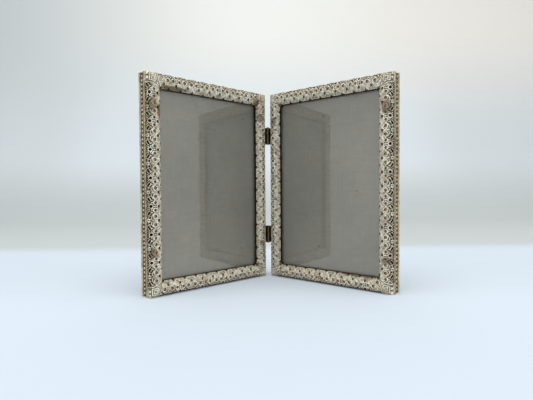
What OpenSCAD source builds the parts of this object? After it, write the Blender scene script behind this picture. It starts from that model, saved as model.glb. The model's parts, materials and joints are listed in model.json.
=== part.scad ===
// Hinged double photo frame: two pierced metal picture frames joined edge to edge
// by a pair of small butt hinges, standing in a V. Millimetres, +Z up, the viewer
// at -Y. Every panel is drawn once in its own frame (X out from the hinge, Y back
// from the crown of the moulding, Z up) and mirrored for the other side.

/* [Panel] */
// Outside width of one panel
panel_w = 127; // [95:1:180]
// Outside height of one panel
panel_h = 178; // [130:1:240]
// Depth of a panel from the crown of the moulding to its rear edge
panel_d = 14; // [13.4:0.1:16]
// Angle between the two panels as they stand
open_angle = 96; // [60:1:150]

/* [Moulding] */
// Width of the moulding's face, from outer wall to sight edge
face_w = 12.2; // [11.8:0.1:15]
// Thickness of the pressed metal
sheet = 0.8; // [0.6:0.05:1]
// Radius of the pierced shoulder
shoulder_r = 4.2; // [3.8:0.1:4.6]
// Distance of the shoulder's foot inside the ridge below it
shoulder_in = 0.45; // [0.4:0.05:0.6]
// Depth of the sight edge's lower end behind the crown
lip_d = 5.4; // [5:0.1:5.8]
// Fall of the face from the crown to the sight edge
face_fall = 3; // [2:0.1:3.4]
// Height of the plain band along the rear edge
band_h = 2.8; // [2.2:0.1:3]
// Height of the groove that holds the bead strip
groove_h = 3.2; // [2.8:0.1:3.4]
// Depth of that groove
groove_d = 0.9; // [0.6:0.05:1]
// Radius of the round ridge above the groove
ridge_r = 1.6; // [1.3:0.05:1.7]
// Slit left at each mitre
mitre_gap = 0.05; // [0.02:0.01:0.2]

/* [Piercing] */
// Length of one repeat of the pierced pattern
repeat = 22.225; // [18:0.025:28]
// Radius of the round hole in the shoulder
round_r = 1.1; // [0.7:0.05:1.3]
// Its angle round the shoulder, from the side wall
round_angle = 53; // [48:1:56]
// Length of the slanted slots beside it
slot_l = 3.2; // [2:0.1:3.6]
// Width of the slanted slots
slot_w = 1.25; // [0.6:0.05:1.3]
// Slant of the slots
slot_slant = 35; // [0:1:60]
// Angle of the slots round the shoulder
slot_angle = 32; // [30:1:40]
// Length of the slits at the shoulder's foot
slit_l = 1.6; // [1:0.1:2]
// Width of the slits
slit_w = 0.7; // [0.4:0.05:1]
// Angle of the slits round the shoulder
slit_angle = 24; // [22:1:30]
// Radius of the corners of the three-sided holes
wedge_r = 1.2; // [0.8:0.05:1.3]
// Angle of the three-sided holes round the shoulder
wedge_angle = 43; // [40:1:48]
// Radius of the large rosette holes along the crown
rosette_r = 1.3; // [1:0.05:1.4]
// Radius of the small holes between them
dot_r = 0.95; // [0.6:0.05:1]
// Radius of the holes of the inner row
inner_r = 0.95; // [0.6:0.05:1]
// Distance of the inner row from the outer wall
inner_at = 8.6; // [8.2:0.1:8.9]
// Radius of the small holes beside the sight edge
lip_hole_r = 0.45; // [0.3:0.05:0.6]
// Distance of the slots from the middle of the repeat
slot_step = 5.5; // [5.2:0.1:5.8]
// Distance of the three-sided holes from the middle of the repeat
wedge_step = 9; // [8.8:0.1:9.2]
// Distance of the small crown holes from the middle of the repeat
dot_step = 2.9; // [2.8:0.1:3.2]
// Distance of the small crown holes from the outer wall
dot_at = 5.4; // [5.2:0.1:5.6]
// Distance of the rosette holes from the middle of the repeat
rosette_step = 7.8; // [7.5:0.1:8.1]
// Distance of the rosette holes from the outer wall
rosette_at = 5.5; // [5.5:0.1:5.8]
// Distance of the small holes beside the sight edge from that edge
lip_hole_in = 1.3; // [1.2:0.1:1.4]

/* [Beads] */
// Distance from bead to bead
bead_pitch = 3.3; // [3:0.1:5]
// Radius of a bead
bead_r = 1.35; // [1.1:0.05:1.4]
// Radius of the wire that carries the beads
bead_wire_r = 0.8; // [0.7:0.05:1]

/* [Corner straps] */
// How far a strap stands above the crown
strap_rise = 0.5; // [0.35:0.05:0.55]
// How far its ground, between the ribs, stands above the crown
strap_base = 0.25; // [0.15:0.05:0.3]
// Width of the ribs on a strap
rib_w = 0.7; // [0.5:0.05:0.8]
// Reach of a strap along the outer edge
strap_reach = 9; // [8:0.1:11]
// Distance of the centre of a strap's hollow side from the outer wall
strap_from = 1.4; // [1:0.1:2]
// Radius of a strap's hollow side
strap_hollow_r = 13.4; // [12:0.1:15]
// Distance of the strap's eye from both outer walls
eye_at = 5.6; // [5:0.1:6]
// Outer radius of the eye
eye_r = 1.9; // [1.5:0.05:2]

/* [Pack behind the sight edge] */
// How far the sight edge laps over the glass
sight_lap = 2; // [1.6:0.1:2.2]
// Thickness of the glass
glass_t = 2; // [1.5:0.1:2.2]
// Air left between the glass and the card
card_air = 0.1; // [0.05:0.05:0.2]
// Thickness of the picture card
card_t = 0.4; // [0.2:0.1:0.6]
// Thickness of the filler card
filler_t = 1.2; // [0.6:0.1:1.4]
// Thickness of the cloth on the back board
cloth_t = 0.4; // [0.2:0.1:0.6]
// Clearance round the pack
pack_gap = 0.2; // [0.1:0.05:0.4]

/* [Inner metalwork] */
// Thickness of the gilt liner behind the piercing
liner_t = 0.5; // [0.4:0.05:0.7]
// Clearance between liner and moulding
liner_gap = 0.15; // [0.05:0.05:0.3]
// Distance of the liner's outer edge from the outer wall
liner_from = 3.6; // [3.2:0.1:4.2]
// Thickness of the back ring
ring_t = 0.8; // [0.6:0.05:1]
// Depth of the back ring's rear face inside the rear edge
ring_inset = 2; // [1.8:0.1:2.2]
// Clearance round the back ring
ring_gap = 0.1; // [0.05:0.05:0.3]

/* [Turn buttons] */
// Length of a button from its pivot to its tip
button_l = 9.8; // [8.6:0.1:12]
// Radius of a button's round end
button_r = 3; // [2.6:0.1:3.4]
// Radius of a button's tip
button_tip_r = 1.5; // [1:0.1:2]
// Thickness of a button
button_t = 0.7; // [0.5:0.05:0.8]
// Radius of a button rivet's shank
rivet_r = 1; // [0.8:0.05:1.2]
// Radius of a button rivet's head
rivet_head_r = 2; // [1.7:0.1:2.2]
// Running clearance of buttons and hinge knuckles
run_gap = 0.06; // [0.03:0.01:0.1]

/* [Hinges] */
// Height of a hinge
hinge_h = 16; // [12:0.5:24]
// Height of the lower hinge's middle above the table
hinge_low_z = 41; // [36:0.5:50]
// Height of the upper hinge's middle above the table
hinge_high_z = 137; // [80:0.5:150]
// Radius of the hinge barrel
barrel_r = 1.15; // [1:0.05:1.3]
// Radius of the hinge pin
pin_r = 0.55; // [0.45:0.05:0.6]
// Number of knuckles in a hinge
knuckles = 5; // [3:2:7]
// Gap from knuckle to knuckle
knuckle_gap = 0.12; // [0.06:0.02:0.3]
// Thickness of a hinge leaf
leaf_t = 0.4; // [0.3:0.05:0.45]
// Depth of a leaf's rear edge behind the crown
leaf_to = 9.6; // [8:0.1:11]
// Distance of the pin in front of the crown
pin_front = 0.7; // [0.65:0.05:0.85]
// Distance of a panel's outer wall from the pin
pin_side = 0.5; // [0.5:0.05:0.8]
// Radius of a hinge rivet
leaf_rivet_r = 0.8; // [0.6:0.05:0.9]
// Distance between the two rivets of a leaf
leaf_rivet_span = 9; // [7:0.5:10]

/* [Hidden] */
$fn = 48;

// Colours
ivory = [0.86, 0.83, 0.72];
gilt = [0.72, 0.56, 0.28];
old_brass = [0.55, 0.42, 0.22];
grey_card = [0.53, 0.54, 0.52];
board_brown = [0.42, 0.30, 0.20];
velvet = [0.16, 0.13, 0.11];

// Moulding, in its section: x is the depth behind the crown, y the distance from the outer wall
crown_at = shoulder_r + shoulder_in;
face_reach = face_w - crown_at;
face_r = (face_reach * face_reach + face_fall * face_fall) / (2 * face_fall);
wall_in = groove_d + sheet;
groove_from = panel_d - band_h - groove_h;
ridge_at = groove_from - ridge_r;
shoulder_c = [shoulder_r, crown_at];
face_c = [face_r, crown_at];
strap_slip = 0.02;
strap_clear = 0.5;
strap_c = [strap_reach + strap_hollow_r, strap_from];
strap_waist = strap_c.x - strap_c.y - 2 * strap_hollow_r * sin(45);
foot_t = sheet / 2;
lip_lap = 0.75 * sheet;
ground_from = 1.8;
ground_to = face_w - 1.2;

// Pack, from the sight edge back
rebate_at = face_w - sight_lap;
glass_front = lip_d;
glass_rear = glass_front + glass_t;
card_front = glass_rear + card_air;
filler_front = card_front + card_t;
board_front = filler_front + filler_t;
ring_rear = panel_d - ring_inset;
cloth_front = ring_rear - cloth_t;
rebate_wall = rebate_at - pack_gap;
liner_r = face_r - sheet - liner_gap;
liner_front = face_r - sqrt(liner_r * liner_r - (rebate_wall - crown_at) * (rebate_wall - crown_at));

// Turn buttons and their rivets, along the middle of the back ring
button_at = (wall_in + rebate_wall) / 2;
button_front = ring_rear + 0.1;
rivet_head_t = 0.6;

// Hinges: the leaf's body stays clear of the other leaf's knuckles
leaf_from = barrel_r + 0.3 - pin_front;
knuckle_h = hinge_h / knuckles;
leaf_rivet_d = ridge_at;

// Place of the panels and of the pin
fold = 90 - open_angle / 2;
front_y = -(pin_side + panel_w - crown_at) * sin(fold)
    + (pin_front + shoulder_r) * cos(fold) - shoulder_r - strap_rise;
back_y = -pin_side * sin(fold) + (pin_front + panel_d) * cos(fold);
pin_y = -(front_y + back_y) / 2;

// Where the pattern starts on each moulding, since strips are cut from running stock
left_phase = repeat * [0.562, 0.486, 0.256, 0.045];
right_phase = repeat * [0.396, 0.643, 0.423, 0.409];

function strap_edge(u) = u > strap_c.y + strap_hollow_r * sin(45) ? u + strap_waist
    : strap_c.x - sqrt(max(strap_hollow_r * strap_hollow_r - (u - strap_c.y) * (u - strap_c.y), 0));

// Section of the moulding
module wall_section() {
    translate([panel_d - band_h, 0]) square([band_h, wall_in]);
    translate([groove_from, groove_d]) square([groove_h, sheet]);
    intersection() {
        translate([ridge_at, ridge_r]) circle(ridge_r);
        translate([ridge_at - ridge_r, 0]) square([2 * ridge_r, wall_in]);
    }
    translate([shoulder_r, groove_d]) square([groove_from - shoulder_r, sheet]);
    translate([shoulder_r, shoulder_in]) square([foot_t, wall_in - shoulder_in]);
}

module shoulder_section(r, inner_r) {
    intersection() {
        difference() {
            translate(shoulder_c) circle(r);
            translate(shoulder_c) circle(inner_r);
        }
        translate([-1, 0]) square([shoulder_c.x + 1, shoulder_c.y]);
    }
}

module face_section(r, inner_r, from, to) {
    intersection() {
        difference() {
            translate(face_c) circle(r);
            translate(face_c) circle(inner_r);
        }
        translate([-1, from]) square([lip_d + 3, to - from]);
    }
}

module lip_section() {
    difference() {
        translate([face_fall - lip_lap, face_w - sheet]) square([lip_d - face_fall + lip_lap, sheet]);
        difference() {
            translate([-1, face_w - 2 * sheet]) square([lip_d + 1, 3 * sheet]);
            translate(face_c) circle(face_r);
        }
    }
}

module moulding_section() {
    wall_section();
    shoulder_section(shoulder_r, shoulder_r - sheet);
    face_section(face_r, face_r - sheet, crown_at, face_w);
    lip_section();
}

// Prism over a rail's plan, with both mitres
module mitre_prism(length, width, gap) {
    translate([0, -2, 0]) rotate([90, 0, 0]) mirror([0, 0, 1]) linear_extrude(panel_d + 4)
        polygon([[gap, 0], [length - gap, 0], [length - width - gap, width], [width + gap, width]]);
}

module along(length) {
    rotate([90, 0, 90]) linear_extrude(length) children();
}

// One hole, square to the sheet, at an angle round an arc of the section
module pierce(s, centre, r, angle) {
    translate([s, centre.x, centre.y]) rotate([180 - angle, 0, 0])
        translate([0, 0, r - sheet - 0.4]) linear_extrude(sheet + 0.8) children();
}

module slot(l, w) {
    square([l - w, w], center = true);
    for (side = [-1, 1]) translate([side * (l - w) / 2, 0]) circle(w / 2);
}

module clear_of_straps(s, u, half, length) {
    reach = strap_edge(u) + half + strap_clear;
    if (s > reach && s < length - reach) children();
}

module shoulder_hole(s, angle, half, length) {
    u = crown_at - shoulder_r * cos(angle);
    clear_of_straps(s, u, half, length) pierce(s, shoulder_c, shoulder_r, angle) children();
}

module face_hole(s, u, r, length) {
    clear_of_straps(s, u, r, length)
        pierce(s, face_c, face_r, 90 + asin((u - crown_at) / face_r)) circle(r);
}

module piercing(length, phase) {
    for (n = [-1 : ceil(length / repeat)]) {
        middle = phase + n * repeat;
        shoulder_hole(middle, round_angle, round_r, length) circle(round_r);
        shoulder_hole(middle + repeat / 2, slit_angle, slit_w / 2, length)
            rotate(90) slot(slit_l, slit_w);
        face_hole(middle, inner_at, inner_r, length);
        face_hole(middle + repeat / 2, inner_at, inner_r, length);
        for (side = [-1, 1]) {
            shoulder_hole(middle + side * slot_step, slot_angle, slot_l / 2, length)
                rotate(-side * slot_slant) slot(slot_l, slot_w);
            shoulder_hole(middle + side * wedge_step, wedge_angle, wedge_r, length)
                rotate(-90) circle(wedge_r, $fn = 3);
            face_hole(middle + side * dot_step, dot_at, dot_r, length);
            face_hole(middle + side * rosette_step, rosette_at, rosette_r, length);
            face_hole(middle + side * slot_step, face_w - lip_hole_in, lip_hole_r, length);
        }
    }
}

module moulding(length, phase) {
    color(ivory) difference() {
        intersection() {
            along(length) moulding_section();
            mitre_prism(length, face_w + 1, mitre_gap);
        }
        piercing(length, phase);
    }
}

// Sides of a panel, each with its length along X and its outer wall at Z = 0
module on_bottom() {
    children();
}

module on_top() {
    translate([0, 0, panel_h]) mirror([0, 0, 1]) children();
}

module on_outer() {
    translate([panel_w, 0, 0]) mirror([1, 0, 0]) mirror([1, 0, -1]) children();
}

module on_hinge() {
    mirror([1, 0, -1]) children();
}

module hinge_stile(phase) {
    difference() {
        on_hinge() moulding(panel_h, phase);
        leaf_rivet_holes();
    }
}

// Corner strap, drawn over the corner where two outer walls meet at the origin
module strap_leg(inner, outer) {
    intersection() {
        along(face_w + 4) union() {
            shoulder_section(shoulder_r + outer, shoulder_r + inner);
            face_section(face_r + outer, face_r + inner, crown_at, face_w);
        }
        mitre_prism(4 * face_w, face_w + 1, 0);
    }
}

// Annulus of the strap's sheet over both legs of the corner, cut to a plan
module strap_layer(inner, outer) {
    intersection() {
        union() {
            strap_leg(inner, outer);
            mirror([1, 0, -1]) strap_leg(inner, outer);
        }
        rotate([90, 0, 0]) translate([0, 0, -panel_d]) linear_extrude(panel_d + 2) children();
    }
}

// Outline of a strap: hollow sides up to the waist, straight from there to the sight edge
module strap_plan(margin) {
    side = [for (a = [187.5 : -3.75 : 135]) strap_c + (strap_hollow_r + margin) * [cos(a), sin(a)]];
    leg = concat(side, [side[len(side) - 1] + [5, 5]]);
    polygon(concat(leg, [for (i = [len(leg) - 1 : -1 : 0]) [leg[i].y, leg[i].x]], [[-1, -1]]));
}

// Sunk ground between the ribs along the hollow sides, the ringed eye and the drop below it
module strap_ground() {
    difference() {
        intersection() {
            strap_plan(rib_w);
            translate([ground_from, ground_from]) square(ground_to - ground_from);
        }
        translate([eye_at, eye_at]) {
            difference() {
                circle(eye_r);
                circle(eye_r - rib_w);
            }
            circle(eye_r - 2.2 * rib_w);
            rotate(45) translate([eye_r + 1, 0]) slot(2.6, rib_w);
        }
    }
}

module corner_strap() {
    color(ivory) difference() {
        strap_layer(strap_slip, strap_rise) strap_plan(0);
        strap_layer(strap_base, strap_rise + 1) strap_ground();
    }
}

module corner_straps() {
    for (side = [0, 1]) translate([side * panel_w, 0, 0]) mirror([side, 0, 0])
        for (top = [0, 1]) translate([0, 0, top * panel_h]) mirror([0, 0, top]) corner_strap();
}

// Beaded wire, flat at the back, lying in the groove of an outer wall
module bead_strip(length) {
    centre_d = groove_from + groove_h / 2;
    centre_u = bead_r + 0.05;
    count = floor((length - 4 * bead_r) / bead_pitch / 2);
    color(gilt) intersection() {
        translate([length / 2, centre_d, centre_u]) rotate([0, 90, 0]) rotate_extrude()
            intersection() {
                union() {
                    translate([0, -length / 2]) square([bead_wire_r, length]);
                    for (n = [-count : count]) translate([0, n * bead_pitch]) circle(bead_r);
                }
                translate([0, -length / 2]) square([bead_r, length]);
            }
        mitre_prism(length, groove_d - strap_slip, mitre_gap);
    }
}

module bead_strips() {
    on_bottom() bead_strip(panel_w);
    on_top() bead_strip(panel_w);
    on_outer() bead_strip(panel_h);
    on_hinge() bead_strip(panel_h);
}

// Plate of the panel's outline, inset by a margin, between two depths
module plate(margin, from, to) {
    translate([margin, from, margin])
        cube([panel_w - 2 * margin, to - from, panel_h - 2 * margin]);
}

// Gilt liner: a wall round the pack, with a flange on each side close behind the piercing
module liner_flange(length) {
    intersection() {
        along(length) face_section(liner_r, liner_r - liner_t, max(liner_from, crown_at),
            rebate_wall - liner_t / 2);
        mitre_prism(length, face_w, mitre_gap);
    }
}

module liner() {
    color(gilt) union() {
        difference() {
            plate(rebate_wall - liner_t, liner_front, ring_rear - ring_t);
            plate(rebate_wall, liner_front - 1, ring_rear);
        }
        on_bottom() liner_flange(panel_w);
        on_top() liner_flange(panel_w);
        on_outer() liner_flange(panel_h);
        on_hinge() liner_flange(panel_h);
    }
}

module back_ring() {
    color(gilt) difference() {
        plate(wall_in + ring_gap, ring_rear - ring_t, ring_rear);
        plate(rebate_wall, ring_rear - 2 * ring_t, ring_rear + 1);
        at_pivots() rotate([-90, 0, 0]) translate([0, 0, -2 * ring_t])
            cylinder(h = 3 * ring_t, r = rivet_r + run_gap);
    }
}

module glass() {
    color([0.75, 0.85, 0.85, 0.35]) plate(rebate_at, glass_front, glass_rear);
}

module picture_card() {
    color(grey_card) plate(rebate_at, card_front, filler_front);
}

module filler_card() {
    color(board_brown) plate(rebate_at, filler_front, board_front);
}

module back_board() {
    color(board_brown) plate(rebate_at, board_front, cloth_front);
}

module back_cloth() {
    color(velvet) plate(rebate_at, cloth_front, ring_rear);
}

// Turn buttons, one in the middle of each side, tips towards the middle of the panel
module at_pivot(side) {
    middle = [panel_w / 2, panel_h / 2];
    spots = [
        [middle.x, panel_h - button_at, 180],
        [middle.x, button_at, 0],
        [panel_w - button_at, middle.y, -90],
        [button_at, middle.y, 90]
    ];
    spot = spots[side];
    translate([spot.x, ring_rear, spot.y]) rotate([0, spot.z, 0]) children();
}

module at_pivots() {
    for (side = [0 : 3]) at_pivot(side) children();
}

module button_plan() {
    reach = button_l - button_tip_r;
    lean = asin((button_r - button_tip_r) / reach);
    circle(button_r);
    translate([0, reach]) circle(button_tip_r);
    polygon([
        [button_r * cos(lean), button_r * sin(lean)],
        [button_tip_r * cos(lean), reach + button_tip_r * sin(lean)],
        [-button_tip_r * cos(lean), reach + button_tip_r * sin(lean)],
        [-button_r * cos(lean), button_r * sin(lean)]
    ]);
}

module turn_button(side) {
    color(old_brass) at_pivot(side) translate([0, button_front - ring_rear, 0])
        rotate([90, 0, 0]) mirror([0, 0, 1]) linear_extrude(button_t) difference() {
            button_plan();
            circle(rivet_r + run_gap);
        }
}

module button_rivet() {
    head_from = button_front - ring_rear + button_t + 0.1;
    rotate([-90, 0, 0]) {
        translate([0, 0, -ring_t - 0.4]) cylinder(h = ring_t + 0.4 + head_from, r = rivet_r);
        translate([0, 0, head_from]) cylinder(h = rivet_head_t, r = rivet_head_r);
        translate([0, 0, -ring_t - 0.5]) cylinder(h = 0.5, r = rivet_r + 0.5);
    }
}

module button_rivets() {
    color(old_brass) at_pivots() button_rivet();
}

// Hinges, in the frame of the pin: X out along the panel, Y back
module knuckle(n) {
    translate([0, 0, n * knuckle_h + knuckle_gap / 2])
        cylinder(h = knuckle_h - knuckle_gap, r = barrel_r);
}

module leaf(first) {
    leaf_in = pin_side - leaf_t;
    color(old_brass) translate([0, 0, -hinge_h / 2]) difference() {
        union() {
            translate([leaf_in, pin_front + leaf_from, 0])
                cube([leaf_t, leaf_to - leaf_from, hinge_h]);
            for (n = [first : 2 : knuckles - 1]) {
                knuckle(n);
                translate([leaf_in, 0, n * knuckle_h + knuckle_gap / 2])
                    cube([leaf_t, pin_front + leaf_from + 0.1, knuckle_h - knuckle_gap]);
            }
        }
        translate([0, 0, -1]) cylinder(h = hinge_h + 2, r = pin_r + run_gap);
        for (side = [-1, 1])
            translate([leaf_in - 1, pin_front + leaf_rivet_d, hinge_h / 2 + side * leaf_rivet_span / 2])
                rotate([0, 90, 0]) cylinder(h = 3, r = leaf_rivet_r);
    }
}

module hinge_pin() {
    color(gilt) {
        translate([0, 0, -hinge_h / 2 - 0.1]) cylinder(h = hinge_h + 0.2, r = pin_r);
        for (end = [0, 1]) mirror([0, 0, end]) translate([0, 0, hinge_h / 2 + 0.1])
            cylinder(h = 0.5, r = barrel_r - 0.15);
    }
}

// Hinge rivets, in the panel's own frame, flush with the leaf
module at_leaf_rivets() {
    for (z = [hinge_low_z, hinge_high_z]) for (side = [-1, 1])
        translate([0, leaf_rivet_d, z + side * leaf_rivet_span / 2]) rotate([0, 90, 0]) children();
}

module leaf_rivet_holes() {
    at_leaf_rivets() translate([0, 0, -1]) cylinder(h = wall_in + 2, r = leaf_rivet_r);
}

module leaf_rivets() {
    color(gilt) at_leaf_rivets() {
        translate([0, 0, -leaf_t]) cylinder(h = leaf_t + wall_in + 0.1, r = leaf_rivet_r);
        translate([0, 0, wall_in]) cylinder(h = 0.4, r = leaf_rivet_r + 0.5);
    }
}

// Standing place of each panel, folded about the pin
module at_pin() {
    translate([0, pin_y, 0]) children();
}

module right_panel() {
    at_pin() rotate([0, 0, -fold]) translate([pin_side, pin_front, 0]) children();
}

module left_panel() {
    mirror([1, 0, 0]) right_panel() children();
}

module right_side(z) {
    at_pin() translate([0, 0, z]) rotate([0, 0, -fold]) children();
}

module left_side(z) {
    mirror([1, 0, 0]) right_side(z) children();
}

left_panel() on_top() moulding(panel_w, left_phase[0]);  // left_top_rail
left_panel() moulding(panel_w, left_phase[1]);  // left_bottom_rail
left_panel() on_outer() moulding(panel_h, left_phase[2]);  // left_outer_stile
left_panel() hinge_stile(left_phase[3]);  // left_hinge_stile
left_panel() corner_straps();  // left_corner_straps
left_panel() bead_strips();  // left_bead_strips
left_panel() liner();  // left_liner
left_panel() back_ring();  // left_back_ring
left_panel() glass();  // left_glass
left_panel() picture_card();  // left_picture_card
left_panel() filler_card();  // left_filler_card
left_panel() back_board();  // left_back_board
left_panel() back_cloth();  // left_back_cloth
left_panel() button_rivets();  // left_button_rivets
left_panel() turn_button(0);  // left_top_button
left_panel() turn_button(1);  // left_bottom_button
left_panel() turn_button(2);  // left_outer_button
left_panel() turn_button(3);  // left_hinge_button
right_panel() on_top() moulding(panel_w, right_phase[0]);  // right_top_rail
right_panel() moulding(panel_w, right_phase[1]);  // right_bottom_rail
right_panel() on_outer() moulding(panel_h, right_phase[2]);  // right_outer_stile
right_panel() hinge_stile(right_phase[3]);  // right_hinge_stile
right_panel() corner_straps();  // right_corner_straps
right_panel() bead_strips();  // right_bead_strips
right_panel() liner();  // right_liner
right_panel() back_ring();  // right_back_ring
right_panel() glass();  // right_glass
right_panel() picture_card();  // right_picture_card
right_panel() filler_card();  // right_filler_card
right_panel() back_board();  // right_back_board
right_panel() back_cloth();  // right_back_cloth
right_panel() button_rivets();  // right_button_rivets
right_panel() turn_button(0);  // right_top_button
right_panel() turn_button(1);  // right_bottom_button
right_panel() turn_button(2);  // right_outer_button
right_panel() turn_button(3);  // right_hinge_button
left_side(hinge_high_z) leaf(0);  // upper_left_leaf
right_side(hinge_high_z) leaf(1);  // upper_right_leaf
right_side(hinge_high_z) hinge_pin();  // upper_pin
left_side(hinge_low_z) leaf(0);  // lower_left_leaf
right_side(hinge_low_z) leaf(1);  // lower_right_leaf
right_side(hinge_low_z) hinge_pin();  // lower_pin
left_panel() leaf_rivets();  // left_hinge_rivets
right_panel() leaf_rivets();  // right_hinge_rivets
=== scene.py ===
"""Finish of a hinged double photo frame: pierced cream and gilt mouldings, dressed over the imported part.

Sizes are millimetres in a panel's own frame (x out from the hinge, d back from the crown, z up)
until a mesh is placed, and metres in the part's frame after that.
"""

import json
import logging
import math
from collections.abc import Callable
from dataclasses import dataclass
from enum import Enum
from functools import reduce
from typing import ClassVar

import bpy
import numpy as np
from mathutils import Matrix, Vector


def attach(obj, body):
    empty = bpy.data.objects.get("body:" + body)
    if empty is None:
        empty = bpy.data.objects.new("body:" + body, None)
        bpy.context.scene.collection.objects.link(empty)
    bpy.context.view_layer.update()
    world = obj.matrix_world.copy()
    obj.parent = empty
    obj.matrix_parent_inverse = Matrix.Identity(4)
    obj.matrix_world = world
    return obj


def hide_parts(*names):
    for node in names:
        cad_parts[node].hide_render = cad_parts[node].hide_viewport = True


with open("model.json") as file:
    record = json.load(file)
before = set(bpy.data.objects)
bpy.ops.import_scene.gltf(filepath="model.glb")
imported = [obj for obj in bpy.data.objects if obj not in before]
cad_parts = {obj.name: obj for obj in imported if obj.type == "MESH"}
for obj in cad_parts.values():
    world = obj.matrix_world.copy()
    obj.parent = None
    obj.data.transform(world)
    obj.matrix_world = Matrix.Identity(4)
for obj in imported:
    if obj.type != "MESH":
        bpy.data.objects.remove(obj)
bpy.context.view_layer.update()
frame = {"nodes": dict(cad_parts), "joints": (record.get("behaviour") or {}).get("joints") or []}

ACROSS_MITRE = Matrix(((0, 0, 1, 0), (0, 1, 0, 0), (1, 0, 0, 0), (0, 0, 0, 1)))
MM = 0.001
TINY = 1e-6
LOG = logging.getLogger("double_frame")

Array = np.ndarray
Colour = tuple[float, float, float]
Socket = bpy.types.NodeSocket


class Side(Enum):
    """The two panels, by the sign of their X."""

    LEFT = -1
    RIGHT = 1

    @property
    def word(self) -> str:
        """Name of the side as the nodes spell it."""
        return self.name.lower()


class Edge(Enum):
    """The four mouldings of a panel, as the nodes spell them."""

    TOP = "top_rail"
    BOTTOM = "bottom_rail"
    OUTER = "outer_stile"
    HINGE = "hinge_stile"

    @property
    def upright(self) -> bool:
        """Whether the moulding stands upright."""
        return self in (Edge.OUTER, Edge.HINGE)


def linear(red: int, green: int, blue: int) -> Colour:
    """A display colour of 0 to 255 as Blender's linear colour."""
    parts = (c / 255 for c in (red, green, blue))
    return tuple(c / 12.92 if c <= 0.04045 else ((c + 0.055) / 1.055) ** 2.4 for c in parts)


class Graph:
    """Adds and joins the nodes of one shader tree."""

    def __init__(self, tree: bpy.types.NodeTree) -> None:
        """Starts on the tree of a material, a world or a shader group."""
        self.tree = tree

    def add(self, kind: str, inputs: dict | None = None, **settings: object) -> bpy.types.Node:
        """Adds a node.

        Args:
            kind: Blender's name of the node type.
            inputs: Values or sockets for its inputs, by name or number.
            **settings: Properties of the node.

        Returns:
            The node.
        """
        node = self.tree.nodes.new(kind)
        for name, value in settings.items():
            setattr(node, name, value)
        self.feed_all(node, inputs or {})
        return node

    def feed_all(self, node: bpy.types.Node, inputs: dict) -> None:
        """Feeds a node's inputs with values or sockets, by name or number."""
        for name, value in inputs.items():
            self.feed(node.inputs[name], value)

    def feed(self, socket: Socket, value: object) -> None:
        """Joins a socket to an input, or sets the input's own value.

        Args:
            socket: Input to feed.
            value: Another node's output, a number, a colour or a vector.
        """
        if isinstance(value, bpy.types.NodeSocket):
            self.tree.links.new(value, socket)
        elif isinstance(value, (tuple, list)) and socket.type == "RGBA" and len(value) == 3:
            socket.default_value = (*value, 1.0)
        else:
            socket.default_value = value

    def math(self, operation: str, a: object, b: object = 0.0) -> Socket:
        """Result of one sum, by Blender's name of it, on two numbers or sockets."""
        return self.add("ShaderNodeMath", {0: a, 1: b}, operation=operation).outputs[0]

    def mix(self, share: object, a: object, b: object) -> Socket:
        """Mix of two colours or sockets, from a where the share is 0 to b where it is 1."""
        return self.add("ShaderNodeMix", {0: share, 6: a, 7: b}, data_type="RGBA").outputs[2]

    def times(self, a: object, b: object) -> Socket:
        """Product of two numbers or sockets."""
        return self.math("MULTIPLY", a, b)

    def most(self, *masks: Socket) -> Socket:
        """The highest of some masks at each point."""
        return reduce(lambda a, b: self.math("MAXIMUM", a, b), masks)

    def step(self, value: object, low: object, high: object, to_low: float = 0.0, to_high: float = 1.0) -> Socket:
        """A value spread smoothly over a range.

        Args:
            value: Value to spread.
            low: Where the result is to_low.
            high: Where the result is to_high.
            to_low: Result at and below low.
            to_high: Result at and above high.

        Returns:
            The result's socket.
        """
        node = self.add("ShaderNodeMapRange", {0: value, 1: low, 2: high, 3: to_low, 4: to_high},
                        interpolation_type="SMOOTHSTEP")
        return node.outputs[0]

    def place(self) -> Socket:
        """Object coordinates of the shaded point."""
        return self.add("ShaderNodeTexCoord").outputs["Object"]

    def noise(self, scale: object, detail: float = 3.0, rough: float = 0.5, at: Socket | None = None) -> Socket:
        """Soft noise around 0.5, by its waves in a metre and the number and weight of its finer layers."""
        inputs = {"Vector": at or self.place(), "Scale": scale, "Detail": detail, "Roughness": rough}
        return self.add("ShaderNodeTexNoise", inputs).outputs[0]

    def stretched(self, scale: tuple[float, float, float]) -> Socket:
        """Object coordinates times a scale in each direction."""
        return self.add("ShaderNodeMapping", {"Vector": self.place(), "Scale": scale}).outputs[0]

    def attribute(self, name: str) -> Socket:
        """Value of a mesh attribute."""
        return self.add("ShaderNodeAttribute", attribute_name=name).outputs["Fac"]

    def bump(self, height: Socket, distance: float) -> Socket:
        """Normal of a surface with a height of 0 to 1 on it, whose 1 is a distance in metres."""
        return self.add("ShaderNodeBump", {"Height": height, "Distance": distance}).outputs[0]


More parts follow.
